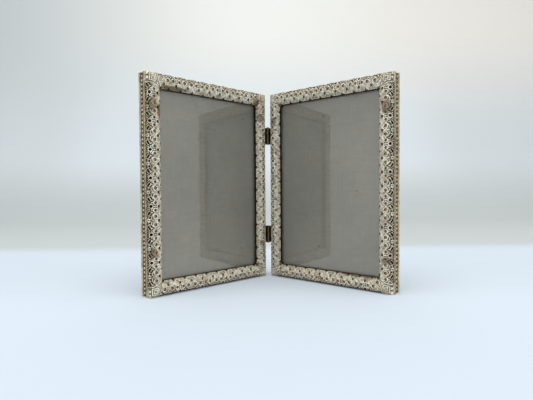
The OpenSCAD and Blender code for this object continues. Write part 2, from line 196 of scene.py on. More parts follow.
class ShaderGroups:
    """Shader node groups that several finishes share, each made once."""

    def __init__(self) -> None:
        """Starts with no group made."""
        self._made: dict[str, bpy.types.NodeTree] = {}

    def _start(self, name: str, inputs: dict[str, float | tuple]) -> tuple[Graph, dict, Socket]:
        """Starts a group with its sockets.

        Args:
            name: Name of the group.
            inputs: Defaults of its inputs by name, a tuple for a vector.

        Returns:
            The group's graph, its inputs' sockets by name, and the socket of its output, a mask.
        """
        tree = bpy.data.node_groups.new(name, "ShaderNodeTree")
        for label, default in inputs.items():
            kind = "NodeSocketVector" if isinstance(default, tuple) else "NodeSocketFloat"
            tree.interface.new_socket(label, in_out="INPUT", socket_type=kind).default_value = default
        tree.interface.new_socket("Mask", in_out="OUTPUT", socket_type="NodeSocketFloat")
        entry, end = tree.nodes.new("NodeGroupInput"), tree.nodes.new("NodeGroupOutput")
        self._made[name] = tree
        return Graph(tree), {label: entry.outputs[label] for label in inputs}, end.inputs[0]

    def _patina(self) -> None:
        """Blotches that two sizes of noise make together."""
        graph, given, end = self._start("Patina", {"Scale": 60.0, "From": 0.5, "To": 0.7})
        broad = graph.noise(given["Scale"], 4.0, 0.55)
        fine = graph.noise(graph.times(given["Scale"], 7.0), 3.0, 0.6)
        both = graph.math("ADD", graph.times(broad, 0.7), graph.times(fine, 0.3))
        graph.feed(end, graph.step(both, given["From"], given["To"]))

    def _stain(self) -> None:
        """A ragged spot round one place."""
        graph, given, end = self._start("Stain", {
            "Centre": (0.0, 0.0, 0.0), "Reach": (0.01, 0.01, 0.01), "Ragged": 0.9})
        away = graph.add("ShaderNodeVectorMath", {0: graph.place(), 1: given["Centre"]}, operation="SUBTRACT")
        scaled = graph.add("ShaderNodeVectorMath", {0: away.outputs[0], 1: given["Reach"]}, operation="DIVIDE")
        far = graph.add("ShaderNodeVectorMath", {0: scaled.outputs[0]}, operation="LENGTH").outputs["Value"]
        torn = graph.times(graph.math("SUBTRACT", graph.noise(520.0, 3.0, 0.6), 0.5), given["Ragged"])
        graph.feed(end, graph.step(graph.math("ADD", far, torn), 1.05, 0.7))

    def _speck(self) -> None:
        """Sparse small specks, such as dust."""
        graph, given, end = self._start("Speck", {"Scale": 200.0, "Size": 0.08})
        cells = graph.add("ShaderNodeTexVoronoi", {"Vector": graph.place(), "Scale": given["Scale"]})
        near = graph.math("LESS_THAN", cells.outputs["Distance"], given["Size"])
        few = graph.step(graph.noise(90.0, 2.0), 0.52, 0.6)
        graph.feed(end, graph.times(near, few))

    def use(self, graph: Graph, name: str, inputs: dict[str, object]) -> Socket:
        """Places a group in a material.

        Args:
            graph: The material's graph.
            name: Patina, Stain or Speck.
            inputs: Values of its inputs.

        Returns:
            The group's output.
        """
        if name not in self._made:
            {"Patina": self._patina, "Stain": self._stain, "Speck": self._speck}[name]()
        node = graph.tree.nodes.new("ShaderNodeGroup")
        node.node_tree = self._made[name]
        graph.feed_all(node, inputs)
        return node.outputs[0]


GROUPS = ShaderGroups()


def new_material(name: str) -> tuple[bpy.types.Material, Graph, bpy.types.Node, bpy.types.Node]:
    """Starts a material.

    Args:
        name: Name of the material.

    Returns:
        The material, its graph, its Principled shader and its output node.
    """
    material = bpy.data.materials.new(name)
    material.use_nodes = True
    nodes = material.node_tree.nodes
    return material, Graph(material.node_tree), nodes["Principled BSDF"], nodes["Material Output"]


class Finish:
    """What the finishes share: each fills the Principled shader of a material of its own."""

    def build(self, name: str) -> bpy.types.Material:
        """Makes the material.

        Args:
            name: Name of the material.

        Returns:
            The material.
        """
        material, graph, shader, _ = new_material(name)
        graph.feed_all(shader, self.surface(graph))
        return material

    def surface(self, graph: Graph) -> dict[str, object]:
        """Values and sockets of the shader's inputs, by name."""
        raise NotImplementedError


@dataclass(frozen=True)
class Stance:
    """How the panels stand about the hinge pins."""

    pin_side: float = 0.5
    pin_front: float = 0.7
    fold: float = 42.0

    @property
    def pin_y(self) -> float:
        """Y of the pins in millimetres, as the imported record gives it."""
        return frame["joints"][0]["pos_m"][1] / MM

    def panel(self, side: Side) -> Matrix:
        """Turns a panel's own millimetres into the part's metres.

        Args:
            side: Which panel.

        Returns:
            The matrix.
        """
        c, s = math.cos(math.radians(self.fold)), math.sin(math.radians(self.fold))
        move = Matrix(((c, s, 0, c * self.pin_side + s * self.pin_front),
                       (-s, c, 0, c * self.pin_front - s * self.pin_side + self.pin_y),
                       (0, 0, 1, 0), (0, 0, 0, 1)))
        return Matrix.Diagonal((MM * side.value, MM, MM, 1)) @ move

    def point(self, side: Side, x: float, d: float, z: float) -> tuple[float, float, float]:
        """A panel's point in the part's metres."""
        return tuple(self.panel(side) @ Vector((x, d, z)))


STANCE = Stance()


@dataclass(frozen=True)
class Stain:
    """A worn or rusted place on a panel, in the panel's millimetres."""

    side: Side
    x: float
    z: float
    reach_x: float
    reach_z: float
    d: float = 1.5

    def mask(self, graph: Graph) -> Socket:
        """Places the stain in a material.

        Args:
            graph: The material's graph.

        Returns:
            The mask's socket.
        """
        reach = (self.reach_x * MM, self.reach_x * MM, self.reach_z * MM)
        return GROUPS.use(graph, "Stain", {
            "Centre": STANCE.point(self.side, self.x, self.d, self.z), "Reach": reach})


RUST = (
    Stain(Side.LEFT, 122.5, 152.0, 4.5, 6.5),
    Stain(Side.LEFT, 123.0, 35.0, 3.8, 5.0),
    Stain(Side.RIGHT, 121.5, 150.0, 4.5, 7.0),
    Stain(Side.RIGHT, 122.0, 27.0, 4.5, 4.0),
    Stain(Side.LEFT, 8.0, 153.5, 4.0, 4.5),
    Stain(Side.LEFT, 6.5, 33.0, 3.2, 3.6),
    Stain(Side.RIGHT, 6.0, 150.5, 3.6, 5.0),
)
RUBBED = (
    Stain(Side.LEFT, 103.0, 167.5, 13.0, 1.8, 2.8),
    Stain(Side.LEFT, 117.5, 148.0, 3.0, 8.0, 2.5),
    Stain(Side.RIGHT, 96.0, 11.8, 20.0, 1.1, 3.2),
    Stain(Side.RIGHT, 124.0, 176.5, 2.2, 1.4, 2.0),
    Stain(Side.LEFT, 13.0, 169.0, 5.0, 3.0),
)


@dataclass(frozen=True)
class CreamedFiligree(Finish):
    """Cream wash left on the raised work of one panel, gilt and brown in the hollows, near-black where its second
    tone paints shade.
    """

    side: Side
    cream: Colour = linear(249, 244, 224)
    cream_grey: Colour = linear(178, 169, 146)
    gilt: Colour = linear(136, 105, 64)
    umber: Colour = linear(60, 45, 28)
    rust: Colour = linear(104, 78, 48)
    # Near-black of the second tone: mostly painted shade in holes, dark spots, feet and sight walls, and some
    # darkening in the hollows.
    dark_and_painted_shade: Colour = linear(20, 16, 12)
    rust_wear: float = 0.55
    rubbed_wear: float = 0.75
    patina_wear: float = 0.3

    def surface(self, graph: Graph) -> dict[str, object]:
        """Values and sockets of the shader's inputs.

        Args:
            graph: The material's graph.

        Returns:
            The inputs by name.
        """
        # The second tone is mostly painted shade, over some darkening in the hollows.
        raised, dark = graph.attribute("cream"), graph.attribute("dark_and_painted_shade")
        patina = GROUPS.use(graph, "Patina", {"Scale": 75.0, "From": 0.52, "To": 0.66})
        rust, rubbed = (graph.most(*(stain.mask(graph) for stain in stains if stain.side is self.side))
                        for stains in (RUST, RUBBED))
        lost = graph.most(graph.times(patina, self.patina_wear), graph.times(rubbed, self.rubbed_wear),
                          graph.times(rust, self.rust_wear))
        edge = graph.math("ADD", raised, graph.times(graph.noise(900.0, 2.0), 0.4))
        cream = graph.times(graph.step(edge, 0.45, 0.85), graph.math("SUBTRACT", 1.0, lost))
        ground = graph.mix(graph.step(graph.noise(240.0, 4.0, 0.6), 0.35, 0.6), self.gilt, self.umber)
        pale = graph.mix(graph.step(graph.noise(420.0, 4.0, 0.65), 0.38, 0.68), self.cream, self.cream_grey)
        colour = graph.mix(graph.times(rust, 0.35), graph.mix(cream, ground, pale), self.rust)
        bare = graph.math("SUBTRACT", 1.0, graph.most(cream, rust, dark))
        rough = graph.step(graph.noise(600.0), 0.3, 0.7, 0.4, 0.58)
        return {
            "Base Color": graph.mix(dark, colour, self.dark_and_painted_shade),
            "Metallic": graph.times(bare, 0.6),
            "Roughness": graph.math("ADD", rough, graph.times(dark, 0.4)),
            "Specular IOR Level": 0.25,
            "Normal": graph.bump(graph.noise(2600.0, 3.0), 0.00006),
        }


@dataclass(frozen=True)
class Band:
    """A band along a moulding's side, in millimetres behind the crown."""

    at: float
    ends: float
    full: float

    def mask(self, graph: Graph, depth: Socket) -> Socket:
        """Mask of the band, full near its middle and 0 past its ends."""
        off = graph.math("ABSOLUTE", graph.math("SUBTRACT", depth, self.at * MM))
        return graph.step(off, self.ends * MM, self.full * MM)


@dataclass(frozen=True)
class GiltSide(Finish):
    """Old gilding on the plain sheet of one panel's rails or stiles, by depth behind the crown, with painted shade at
    the foot and under the lace.
    """

    side: Side
    upright: bool
    gilt: Colour = linear(184, 173, 141)
    pale: Colour = linear(208, 202, 176)
    brown: Colour = linear(137, 121, 93)
    # Near-black for painted shade at the foot and under the lace, and for the seams and the groove.
    dark_and_painted_shade: Colour = linear(30, 23, 16)
    ridge: Band = Band(6.4, 1.6, 1.2)
    # Band of painted shade in the crease at the lace's foot.
    foot: Band = Band(4.5, 0.7, 0.2)
    groove: Band = Band(9.6, 1.9, 1.4)
    seams: Band = Band(8.1, 0.4, 0.1)
    twist: float = 2.3
    # Depth down to which the sheet under the lace is painted, gilt and then near-black as shade.
    lace_to: float = 4.3

    def surface(self, graph: Graph) -> dict[str, object]:
        """Values and sockets of the shader's inputs.

        Args:
            graph: The material's graph.

        Returns:
            The inputs by name.
        """
        turned = graph.add("ShaderNodeMapping", {
            "Vector": graph.place(), "Location": self._shift(),
            "Rotation": (0.0, 0.0, self.side.value * math.radians(STANCE.fold))})
        own = graph.add("ShaderNodeSeparateXYZ", {0: turned.outputs[0]})
        along, depth = own.outputs[2 if self.upright else 0], own.outputs[1]
        slant = graph.times(graph.math("SUBTRACT", depth, self.ridge.at * MM), 0.9)
        wave = graph.math("SINE", graph.times(graph.math("ADD", along, slant), math.tau / (self.twist * MM)))
        on_ridge = self.ridge.mask(graph, depth)
        strands = graph.times(graph.step(wave, -1.0, 0.6), on_ridge)
        mottle = GROUPS.use(graph, "Patina", {"Scale": 130.0, "From": 0.4, "To": 0.62})
        glint = graph.times(graph.step(graph.noise(300.0, 3.0), 0.5, 0.66), 0.7)
        colour = graph.mix(glint, graph.mix(mottle, self.gilt, self.brown), self.pale)
        between = graph.times(graph.math("SUBTRACT", on_ridge, strands), 0.6)
        colour = graph.mix(between, colour, self.brown)
        # Painted shade at the foot; dark seams; darker in the groove.
        foot, seams, groove = (band.mask(graph, depth) for band in (self.foot, self.seams, self.groove))
        dark = graph.most(foot, seams, graph.times(groove, 0.55))
        colour = graph.mix(graph.times(dark, 0.85), colour, self.dark_and_painted_shade)
        # Under the lace: gilt near the crown, painted near-black deeper down as the shade seen through the holes.
        under_lace = graph.step(depth, self.lace_to * MM, (self.lace_to - 0.2) * MM)
        colour = graph.mix(under_lace, colour, self.gilt)
        colour = graph.mix(graph.times(graph.step(depth, 0.0003, 0.0012), under_lace), colour, self.dark_and_painted_shade)
        height = graph.math("ADD", graph.times(strands, 0.8), graph.times(graph.noise(1500.0, 3.0), 0.25))
        return {
            "Base Color": colour,
            "Metallic": graph.step(mottle, 0.0, 1.0, 0.5, 0.25),
            "Roughness": graph.step(graph.noise(500.0), 0.3, 0.7, 0.34, 0.56),
            "Normal": graph.bump(height, 0.00022),
        }

    def _shift(self) -> tuple[float, float, float]:
        """Location that centres the pattern on the panel's own frame, after the Mapping node's turn."""
        turn = Matrix.Rotation(self.side.value * math.radians(STANCE.fold), 3, "Z")
        return tuple(-(turn @ STANCE.panel(self.side).translation))


@dataclass(frozen=True)
class OldMetal(Finish):
    """Plain metal with tarnish, and a line of brass on the barrel round the hinge pins: rubbed brass and a painted
    highlight.
    """

    base: Colour
    dark: Colour
    roughness: float = 0.42
    metallic: float = 0.8
    # Brass of the barrel's line, which is rubbed brass and a painted highlight.
    barrel: Colour | None = None
    barrel_r: float = 1.15
    knuckle_h: float = 3.2
    lowest_knuckle: float = 33.0
    glint_lean: float = 0.3
    glint_half: float = 0.7

    def _glints(self, graph: Graph) -> Socket:
        """Mask of the brass line on the barrel, from side to side by knuckle: rubbed brass and a painted highlight.

        Args:
            graph: The material's graph.

        Returns:
            The mask's socket.
        """
        across, back, up = graph.add("ShaderNodeSeparateXYZ", {0: graph.place()}).outputs
        behind = graph.math("SUBTRACT", back, STANCE.pin_y * MM)
        away = graph.math("SQRT", graph.math("ADD", graph.math("POWER", across, 2.0),
                                             graph.math("POWER", behind, 2.0)))
        knuckles = graph.math("DIVIDE", graph.math("SUBTRACT", up, self.lowest_knuckle * MM), self.knuckle_h * MM)
        wave = graph.math("SINE", graph.times(knuckles, math.pi))
        lean = graph.math("ABSOLUTE", graph.math("SUBTRACT", across, graph.times(wave, self.glint_lean * MM)))
        worn = graph.times(graph.step(lean, self.glint_half * MM, (self.glint_half - 0.5) * MM),
                           graph.step(graph.math("ABSOLUTE", wave), 0.1, 0.45))
        on_barrel = graph.step(away, (self.barrel_r + 0.15) * MM, (self.barrel_r + 0.05) * MM)
        return graph.times(on_barrel, worn)

    def surface(self, graph: Graph) -> dict[str, object]:
        """Values and sockets of the shader's inputs.

        Args:
            graph: The material's graph.

        Returns:
            The inputs by name.
        """
        mottle = GROUPS.use(graph, "Patina", {"Scale": 160.0, "From": 0.42, "To": 0.62})
        colour = graph.mix(mottle, self.base, self.dark)
        if self.barrel:
            # Painted highlight of brass along the barrel, which is also rubbed brass.
            bright = graph.mix(graph.noise(900.0), self.barrel, self.base)
            colour = graph.mix(self._glints(graph), colour, bright)
        rough = (self.roughness - 0.08, self.roughness + 0.12)
        return {
            "Base Color": colour,
            "Metallic": graph.step(mottle, 0.0, 1.0, self.metallic, self.metallic * 0.6),
            "Roughness": graph.step(graph.noise(700.0), 0.3, 0.7, *rough),
            "Normal": graph.bump(graph.noise(2200.0, 4.0), 0.00005),
        }


@dataclass(frozen=True)
class ClearGlass:
    """Plain picture glass, which lets the lamps' light through to the card."""

    tint: Colour = (0.985, 0.985, 0.97)
    old_tint: Colour = (0.975, 0.975, 0.96)
    shadow: Colour = (0.96, 0.96, 0.955)
    smear: float = 0.035

    def build(self, name: str) -> bpy.types.Material:
        """Makes the material.

        Args:
            name: Name of the material.

        Returns:
            The material.
        """
        material, graph, shader, output = new_material(name)
        graph.feed_all(shader, {
            "Base Color": graph.mix(graph.noise(20.0), self.tint, self.old_tint),
            "Roughness": graph.step(graph.noise(45.0, 4.0, 0.6), 0.45, 0.7, 0.0, self.smear),
            "Transmission Weight": 1.0, "IOR": 1.5})
        clear = graph.add("ShaderNodeBsdfTransparent", {"Color": self.shadow})
        to_lamp = graph.add("ShaderNodeLightPath").outputs["Is Shadow Ray"]
        both = graph.add("ShaderNodeMixShader", {0: to_lamp, 1: shader.outputs[0], 2: clear.outputs[0]})
        graph.feed(output.inputs["Surface"], both.outputs[0])
        return material


@dataclass(frozen=True)
class GreyCard(Finish):
    """Plain grey card with a faint weave, mottling and dust."""

    light: Colour = linear(152, 153, 148)
    deep: Colour = linear(130, 131, 127)
    dust: Colour = linear(84, 80, 72)
    across_thread: tuple[float, float, float] = (0.1, 0.1, 1.0)
    upright_thread: tuple[float, float, float] = (1.0, 1.0, 0.1)

    def surface(self, graph: Graph) -> dict[str, object]:
        """Values and sockets of the shader's inputs.

        Args:
            graph: The material's graph.

        Returns:
            The inputs by name.
        """
        cloud = graph.step(graph.noise(14.0, 3.0, 0.5), 0.35, 0.65)
        fibre = graph.step(graph.noise(1400.0, 3.0, 0.7), 0.35, 0.7)
        threads = (graph.stretched(stretch) for stretch in (self.across_thread, self.upright_thread))
        weave = graph.step(graph.math("ADD", *(graph.noise(800.0, 2.0, 0.6, at) for at in threads)), 0.75, 1.25)
        shade = graph.math("ADD", graph.times(cloud, 0.35), graph.times(weave, 0.4))
        specks = GROUPS.use(graph, "Speck", {"Scale": 95.0, "Size": 0.09})
        return {
            "Base Color": graph.mix(graph.times(specks, 0.75), graph.mix(shade, self.light, self.deep), self.dust),
            "Roughness": graph.step(fibre, 0.0, 1.0, 0.82, 0.94),
            "Normal": graph.bump(graph.noise(1800.0, 4.0, 0.6), 0.00004),
        }


@dataclass(frozen=True)
class Fibreboard(Finish):
    """Pressed brown board, seen at its edges."""

    base: Colour = linear(122, 90, 60)
    dark: Colour = linear(88, 62, 40)

    def surface(self, graph: Graph) -> dict[str, object]:
        """Values and sockets of the shader's inputs.

        Args:
            graph: The material's graph.

        Returns:
            The inputs by name.
        """
        streak = graph.step(graph.noise(500.0, 5.0, 0.65, graph.stretched((1.0, 1.0, 6.0))), 0.35, 0.68)
        return {
            "Base Color": graph.mix(streak, self.base, self.dark),
            "Roughness": graph.step(streak, 0.0, 1.0, 0.7, 0.9),
            "Normal": graph.bump(streak, 0.00008),
        }


@dataclass(frozen=True)
class Velvet(Finish):
    """Napped cloth on the back, brushed in patches."""

    deep: Colour = linear(54, 42, 36)
    lift: Colour = linear(92, 74, 62)

    def surface(self, graph: Graph) -> dict[str, object]:
        """Values and sockets of the shader's inputs.

        Args:
            graph: The material's graph.

        Returns:
            The inputs by name.
        """
        brushed = graph.step(graph.noise(35.0, 3.0, 0.6), 0.4, 0.66)
        nap = graph.noise(3200.0, 2.0, 0.6)
        shade = graph.math("ADD", graph.times(brushed, 0.55), graph.times(nap, 0.45))
        return {
            "Base Color": graph.mix(shade, self.deep, self.lift),
            "Roughness": graph.step(nap, 0.0, 1.0, 0.85, 1.0),
            "Sheen Weight": 0.5,
            "Sheen Roughness": 0.4,
            "Normal": graph.bump(nap, 0.00018),
        }


def ramp(value: Array, start: float, length: float) -> Array:
    """0 up to a start and 1 from a length past it, or before it where the length is below 0."""
    return np.clip((value - start) / length, 0, 1)


def eased(share: Array) -> Array:
    """A ramp with its ends made smooth."""
    return share * share * (3 - 2 * share)


def dome(far: Array, half: float) -> Array:
    """A round top of some half width: 1 at its middle, 0 from its foot on."""
    return np.sqrt(np.clip(1 - (far / half) ** 2, 0, 1))


def off_line(x: Array, y: Array, half: float, turn: float) -> Array:
    """Distance of points from a line through 0.

    Args:
        x: Places along the moulding.
        y: Places across it.
        half: Half the line's length.
        turn: The line's turn in degrees.

    Returns:
        The distances.
    """
    c, k = math.cos(math.radians(turn)), math.sin(math.radians(turn))
    t = np.clip(x * c + y * k, -half, half)
    return np.hypot(x - t * c, y - t * k)


@dataclass
class Sheet:
    """A mesh in the making: its points, its triangles, and how creamy and how dark each point is, the dark mostly
    painted shade.
    """

    points: Array
    faces: Array
    tone: Array
    # The second tone is mostly painted shade.
    tones: ClassVar[tuple[str, ...]] = ("cream", "dark_and_painted_shade")
    sharp: ClassVar[float] = math.radians(55)

    @classmethod
    def grid(cls, across: Array, up: Array) -> "Sheet":
        """A flat grid, with its first direction along and its second across.

        Args:
            across: Places along the first direction.
            up: Places along the second direction.

        Returns:
            The grid, with no tone yet.
        """
        s, v = np.meshgrid(across, up, indexing="ij")
        number = np.arange(s.size).reshape(s.shape)
        a, b, c, d = number[:-1, :-1], number[1:, :-1], number[1:, 1:], number[:-1, 1:]
        flip = (np.add.outer(np.arange(len(across) - 1), np.arange(len(up) - 1)) % 2).astype(bool)
        first = np.where(flip[..., None], np.stack([a, b, d], -1), np.stack([a, b, c], -1))
        second = np.where(flip[..., None], np.stack([b, c, d], -1), np.stack([a, c, d], -1))
        faces = np.concatenate([first.reshape(-1, 3), second.reshape(-1, 3)])
        points = np.stack([s.ravel(), v.ravel(), np.zeros(s.size)], 1)
        return cls(points, faces, np.zeros((s.size, 2)))

    @classmethod
    def read(cls, mesh: bpy.types.Mesh) -> "Sheet":
        """The sheet that a mesh of triangles holds.

        Args:
            mesh: Mesh with the attributes cream and soot.

        Returns:
            The sheet.
        """
        points = np.zeros(len(mesh.vertices) * 3)
        mesh.vertices.foreach_get("co", points)
        corners = np.zeros(len(mesh.loops), np.int64)
        mesh.loops.foreach_get("vertex_index", corners)
        tone = np.zeros((len(mesh.vertices), 2))
        for column, name in enumerate(cls.tones):
            values = np.zeros(len(mesh.vertices))
            mesh.attributes[name].data.foreach_get("value", values)
            tone[:, column] = values
        return cls(points.reshape(-1, 3), corners.reshape(-1, 3), tone)

    @classmethod
    def joined(cls, sheets: list["Sheet"]) -> "Sheet":
        """Several sheets as one.

        Args:
            sheets: The sheets.

        Returns:
            One sheet with all their points and triangles.
        """
        starts = np.cumsum([0] + [len(s.points) for s in sheets])
        return cls(np.concatenate([s.points for s in sheets]),
                   np.concatenate([s.faces + n for s, n in zip(sheets, starts)]),
                   np.concatenate([s.tone for s in sheets]))

    def clipped(self, keep: Array) -> "Sheet":
        """The sheet cut along the line where a field is 0.

        Args:
            keep: The field at each point, above 0 on the part that stays.

        Returns:
            The part that stays.
        """
        inside = keep > 0
        count = inside[self.faces].sum(1)
        part = self.faces[(count == 1) | (count == 2)]
        mask = inside[part]
        lone_in = mask.sum(1) == 1
        lone = np.where(lone_in, mask.argmax(1), (~mask).argmax(1))
        rows = np.arange(len(part))
        a, b, c = (part[rows, (lone + k) % 3] for k in range(3))
        ends = np.sort(np.stack([np.r_[a, a], np.r_[b, c]], 1), 1)
        pairs, which = np.unique(ends, axis=0, return_inverse=True)
        which = which.reshape(-1) + len(self.points)
        low, high = keep[pairs[:, 0]], keep[pairs[:, 1]]
        share = (low / np.where(low == high, 1.0, low - high))[:, None]
        cut = self.points[pairs[:, 0]] * (1 - share) + self.points[pairs[:, 1]] * share
        tone = self.tone[pairs[:, 0]] * (1 - share) + self.tone[pairs[:, 1]] * share
        ab, ac = which[: len(part)], which[len(part):]
        two = ~lone_in
        faces = np.concatenate([
            self.faces[count == 3],
            np.stack([a, ab, ac], 1)[lone_in],
            np.stack([ab, b, c], 1)[two],
            np.stack([ab, c, ac], 1)[two],
        ])
        return Sheet(np.concatenate([self.points, cut]), faces, np.concatenate([self.tone, tone])).tidied()

    def tidied(self) -> "Sheet":
        """The sheet without points that no triangle uses."""
        used, faces = np.unique(self.faces, return_inverse=True)
        return Sheet(self.points[used], faces.reshape(-1, 3), self.tone[used])

    def rim(self) -> Array:
        """The open edges.

        Returns:
            Pairs of points, in the order of their triangle.
        """
        edges = np.concatenate([self.faces[:, [0, 1]], self.faces[:, [1, 2]], self.faces[:, [2, 0]]])
        _, where, count = np.unique(np.sort(edges, 1), axis=0, return_index=True, return_counts=True)
        return edges[where[count == 1]]

    def moved(self, matrix: Matrix) -> "Sheet":
        """The sheet under a matrix, its faces turned where the matrix mirrors.

        Args:
            matrix: Where the sheet goes.

        Returns:
            The moved sheet.
        """
        m = np.array(matrix)
        faces = self.faces[:, ::-1] if np.linalg.det(m[:3, :3]) < 0 else self.faces
        return Sheet(self.points @ m[:3, :3].T + m[:3, 3], faces, self.tone)

    def fill(self, mesh: bpy.types.Mesh) -> None:
        """Writes the sheet into a mesh, in place of what it holds.

        Args:
            mesh: The mesh, which keeps its materials.
        """
        mesh.clear_geometry()
        mesh.vertices.add(len(self.points))
        mesh.vertices.foreach_set("co", self.points.astype(np.float32).ravel())
        mesh.loops.add(self.faces.size)
        mesh.loops.foreach_set("vertex_index", self.faces.astype(np.int32).ravel())
        mesh.polygons.add(len(self.faces))
        mesh.polygons.foreach_set("loop_start", np.arange(0, self.faces.size, 3, dtype=np.int32))
        mesh.update(calc_edges=True)
        mesh.polygons.foreach_set("use_smooth", np.ones(len(self.faces), bool))
        for column, name in enumerate(self.tones):
            values = mesh.attributes.new(name, "FLOAT", "POINT")
            values.data.foreach_set("value", self.tone[:, column].astype(np.float32))
        mesh.set_sharp_from_angle(angle=self.sharp)
        mesh.update()


def piece(name: str, sheet: Sheet, material: bpy.types.Material, body: str,
          replaced: tuple[str, ...] = ()) -> bpy.types.Object:
    """Makes a finished piece that rides on a body.

    Args:
        name: Name of the piece.
        sheet: Its mesh, in the part's metres.
        material: Its material.
        body: Body that it rides on.
        replaced: CAD nodes that it stands for.

    Returns:
        The object.
    """
    mesh = bpy.data.meshes.new(name)
    sheet.fill(mesh)
    mesh.materials.append(material)
    made = bpy.data.objects.new(name, mesh)
    bpy.context.scene.collection.objects.link(made)
    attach(made, body)
    if replaced:
        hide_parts(*replaced)
    LOG.info("%s: %d triangles on %s", name, len(sheet.faces), body)
    return made


class StampedRun:
    """A length of stamped stock: one tile set out again and again by a node tree."""

    weld = 0.002

    def __init__(self) -> None:
        """Builds the tree and keeps its inputs' identifiers."""
        self.tree = bpy.data.node_groups.new("StampedRun", "GeometryNodeTree")
        face = self.tree.interface
        face.new_socket("Tile", in_out="INPUT", socket_type="NodeSocketGeometry")
        kinds = {"Count": "Int", "Pitch": "Float", "Start": "Float", "Weld": "Float", "Finish": "Material"}
        self.inputs = {name: face.new_socket(name, in_out="INPUT", socket_type=f"NodeSocket{kind}").identifier
                       for name, kind in kinds.items()}
        face.new_socket("Run", in_out="OUTPUT", socket_type="NodeSocketGeometry")
        nodes, link = self.tree.nodes, self.tree.links.new
        entry, end = nodes.new("NodeGroupInput"), nodes.new("NodeGroupOutput")
        first, pitch = nodes.new("ShaderNodeCombineXYZ"), nodes.new("ShaderNodeCombineXYZ")
        line, copies, solid, weld, real, finish = (nodes.new(f"GeometryNode{kind}") for kind in (
            "MeshLine", "InstanceOnPoints", "RealizeInstances", "MergeByDistance", "RealizeInstances",
            "SetMaterial"))
        line.mode = "OFFSET"
        for source, target in (
                (entry.outputs["Start"], first.inputs[0]), (entry.outputs["Pitch"], pitch.inputs[0]),
                (entry.outputs["Count"], line.inputs["Count"]), (first.outputs[0], line.inputs["Start Location"]),
                (pitch.outputs[0], line.inputs["Offset"]), (line.outputs[0], copies.inputs["Points"]),
                (entry.outputs["Tile"], copies.inputs["Instance"]), (copies.outputs[0], solid.inputs[0]),
                (solid.outputs[0], weld.inputs["Geometry"]), (entry.outputs["Weld"], weld.inputs["Distance"]),
                (weld.outputs[0], real.inputs[0]), (real.outputs[0], finish.inputs["Geometry"]),
                (entry.outputs["Finish"], finish.inputs["Material"]), (finish.outputs[0], end.inputs[0])):
            link(source, target)

    def make(self, tile: Sheet, pitch: float, start: float, count: int, material: bpy.types.Material) -> Sheet:
        """Sets out a tile along X.

        Args:
            tile: One repeat, in millimetres.
            pitch: Distance from tile to tile.
            start: Place of the first tile.
            count: Number of tiles.
            material: Material of the run.

        Returns:
            The whole run, in millimetres.
        """
        mesh = bpy.data.meshes.new("tile")
        tile.fill(mesh)
        holder = bpy.data.objects.new("tile", mesh)
        bpy.context.scene.collection.objects.link(holder)
        modifier = holder.modifiers.new("run", "NODES")
        modifier.node_group = self.tree
        values = {"Count": count, "Pitch": pitch, "Start": start, "Weld": self.weld, "Finish": material}
        for name, value in values.items():
            modifier[self.inputs[name]] = value
        graph = bpy.context.evaluated_depsgraph_get()
        made = bpy.data.meshes.new_from_object(
            holder.evaluated_get(graph), preserve_all_data_layers=True, depsgraph=graph)
        sheet = Sheet.read(made)
        bpy.data.objects.remove(holder)
        for used in (made, mesh):
            bpy.data.meshes.remove(used)
        return sheet


@dataclass(frozen=True)
class Moulding:
    """Section of the moulding: an arc for the shoulder, an arc for the face, and the sight edge's wall."""

    shoulder_r: float = 4.2
    shoulder_in: float = 0.45
    width: float = 12.2
    fall: float = 3.0
    lip_d: float = 5.4
    lean_from: float = 3.0
    lean_drop: float = 0.25
    bend: float = 0.55

    @property
    def crown_at(self) -> float:
        """Distance of the crown from the outer wall."""
        return self.shoulder_r + self.shoulder_in

    @property
    def face_r(self) -> float:
        """Radius of the face."""
        reach = self.width - self.crown_at
        return (reach * reach + self.fall * self.fall) / (2 * self.fall)

    @property
    def shoulder_end(self) -> float:
        """Length of the surface from the shoulder's foot to the crown."""
        return self.shoulder_r * math.pi / 2

    @property
    def face_end(self) -> float:
        """Length of the surface from the shoulder's foot to the sight edge."""
        return self.shoulder_end + self.face_r * math.asin((self.width - self.crown_at) / self.face_r)

    @property
    def end(self) -> float:
        """Length of the whole surface."""
        return self.face_end + self.lip_d - self.fall

    def across(self, u: float) -> float:
        """Length along the surface from the shoulder's foot to a distance from the outer wall, on the face."""
        return self.shoulder_end + self.face_r * math.asin((u - self.crown_at) / self.face_r)

    def lean(self, v: Array) -> Array:
        """How far points over the face share in the sight edge's swell, from 0 to 1."""
        return eased(ramp(v, self.face_end - self.lean_from, self.lean_from))

    def place(self, v: Array, rise: Array, swell: Array | float = 0.0) -> tuple[Array, Array]:
        """Depth and distance from the wall of points over the surface.

        Args:
            v: Length along the surface from the shoulder's foot.
            rise: Height above the surface.
            swell: How far the sight edge stands in at each point.

        Returns:
            Depth behind the crown and distance from the outer wall.
        """
        swell = np.broadcast_to(swell, v.shape)
        phi = np.clip(v, 0, self.shoulder_end) / self.shoulder_r
        theta = np.clip(v - self.shoulder_end, 0, self.face_end - self.shoulder_end) / self.face_r
        past = np.clip(v - self.face_end, 0, None)
        on_shoulder = v < self.shoulder_end
        d = np.where(on_shoulder, self.shoulder_r * (1 - np.sin(phi)), self.face_r * (1 - np.cos(theta)))
        u = np.where(on_shoulder, self.crown_at - self.shoulder_r * np.cos(phi),
                     self.crown_at + self.face_r * np.sin(theta))
        stretch = swell * self.lean(v)
        d, u = d + past + stretch * self.lean_drop * (past == 0), u + stretch
        turn = np.where(on_shoulder, phi - math.pi / 2, theta)
        bend = eased(ramp(v, self.face_end - self.bend, 2 * self.bend))
        turn = turn * (1 - bend) + bend * math.pi / 2
        return d - np.cos(turn) * rise, u + np.sin(turn) * rise


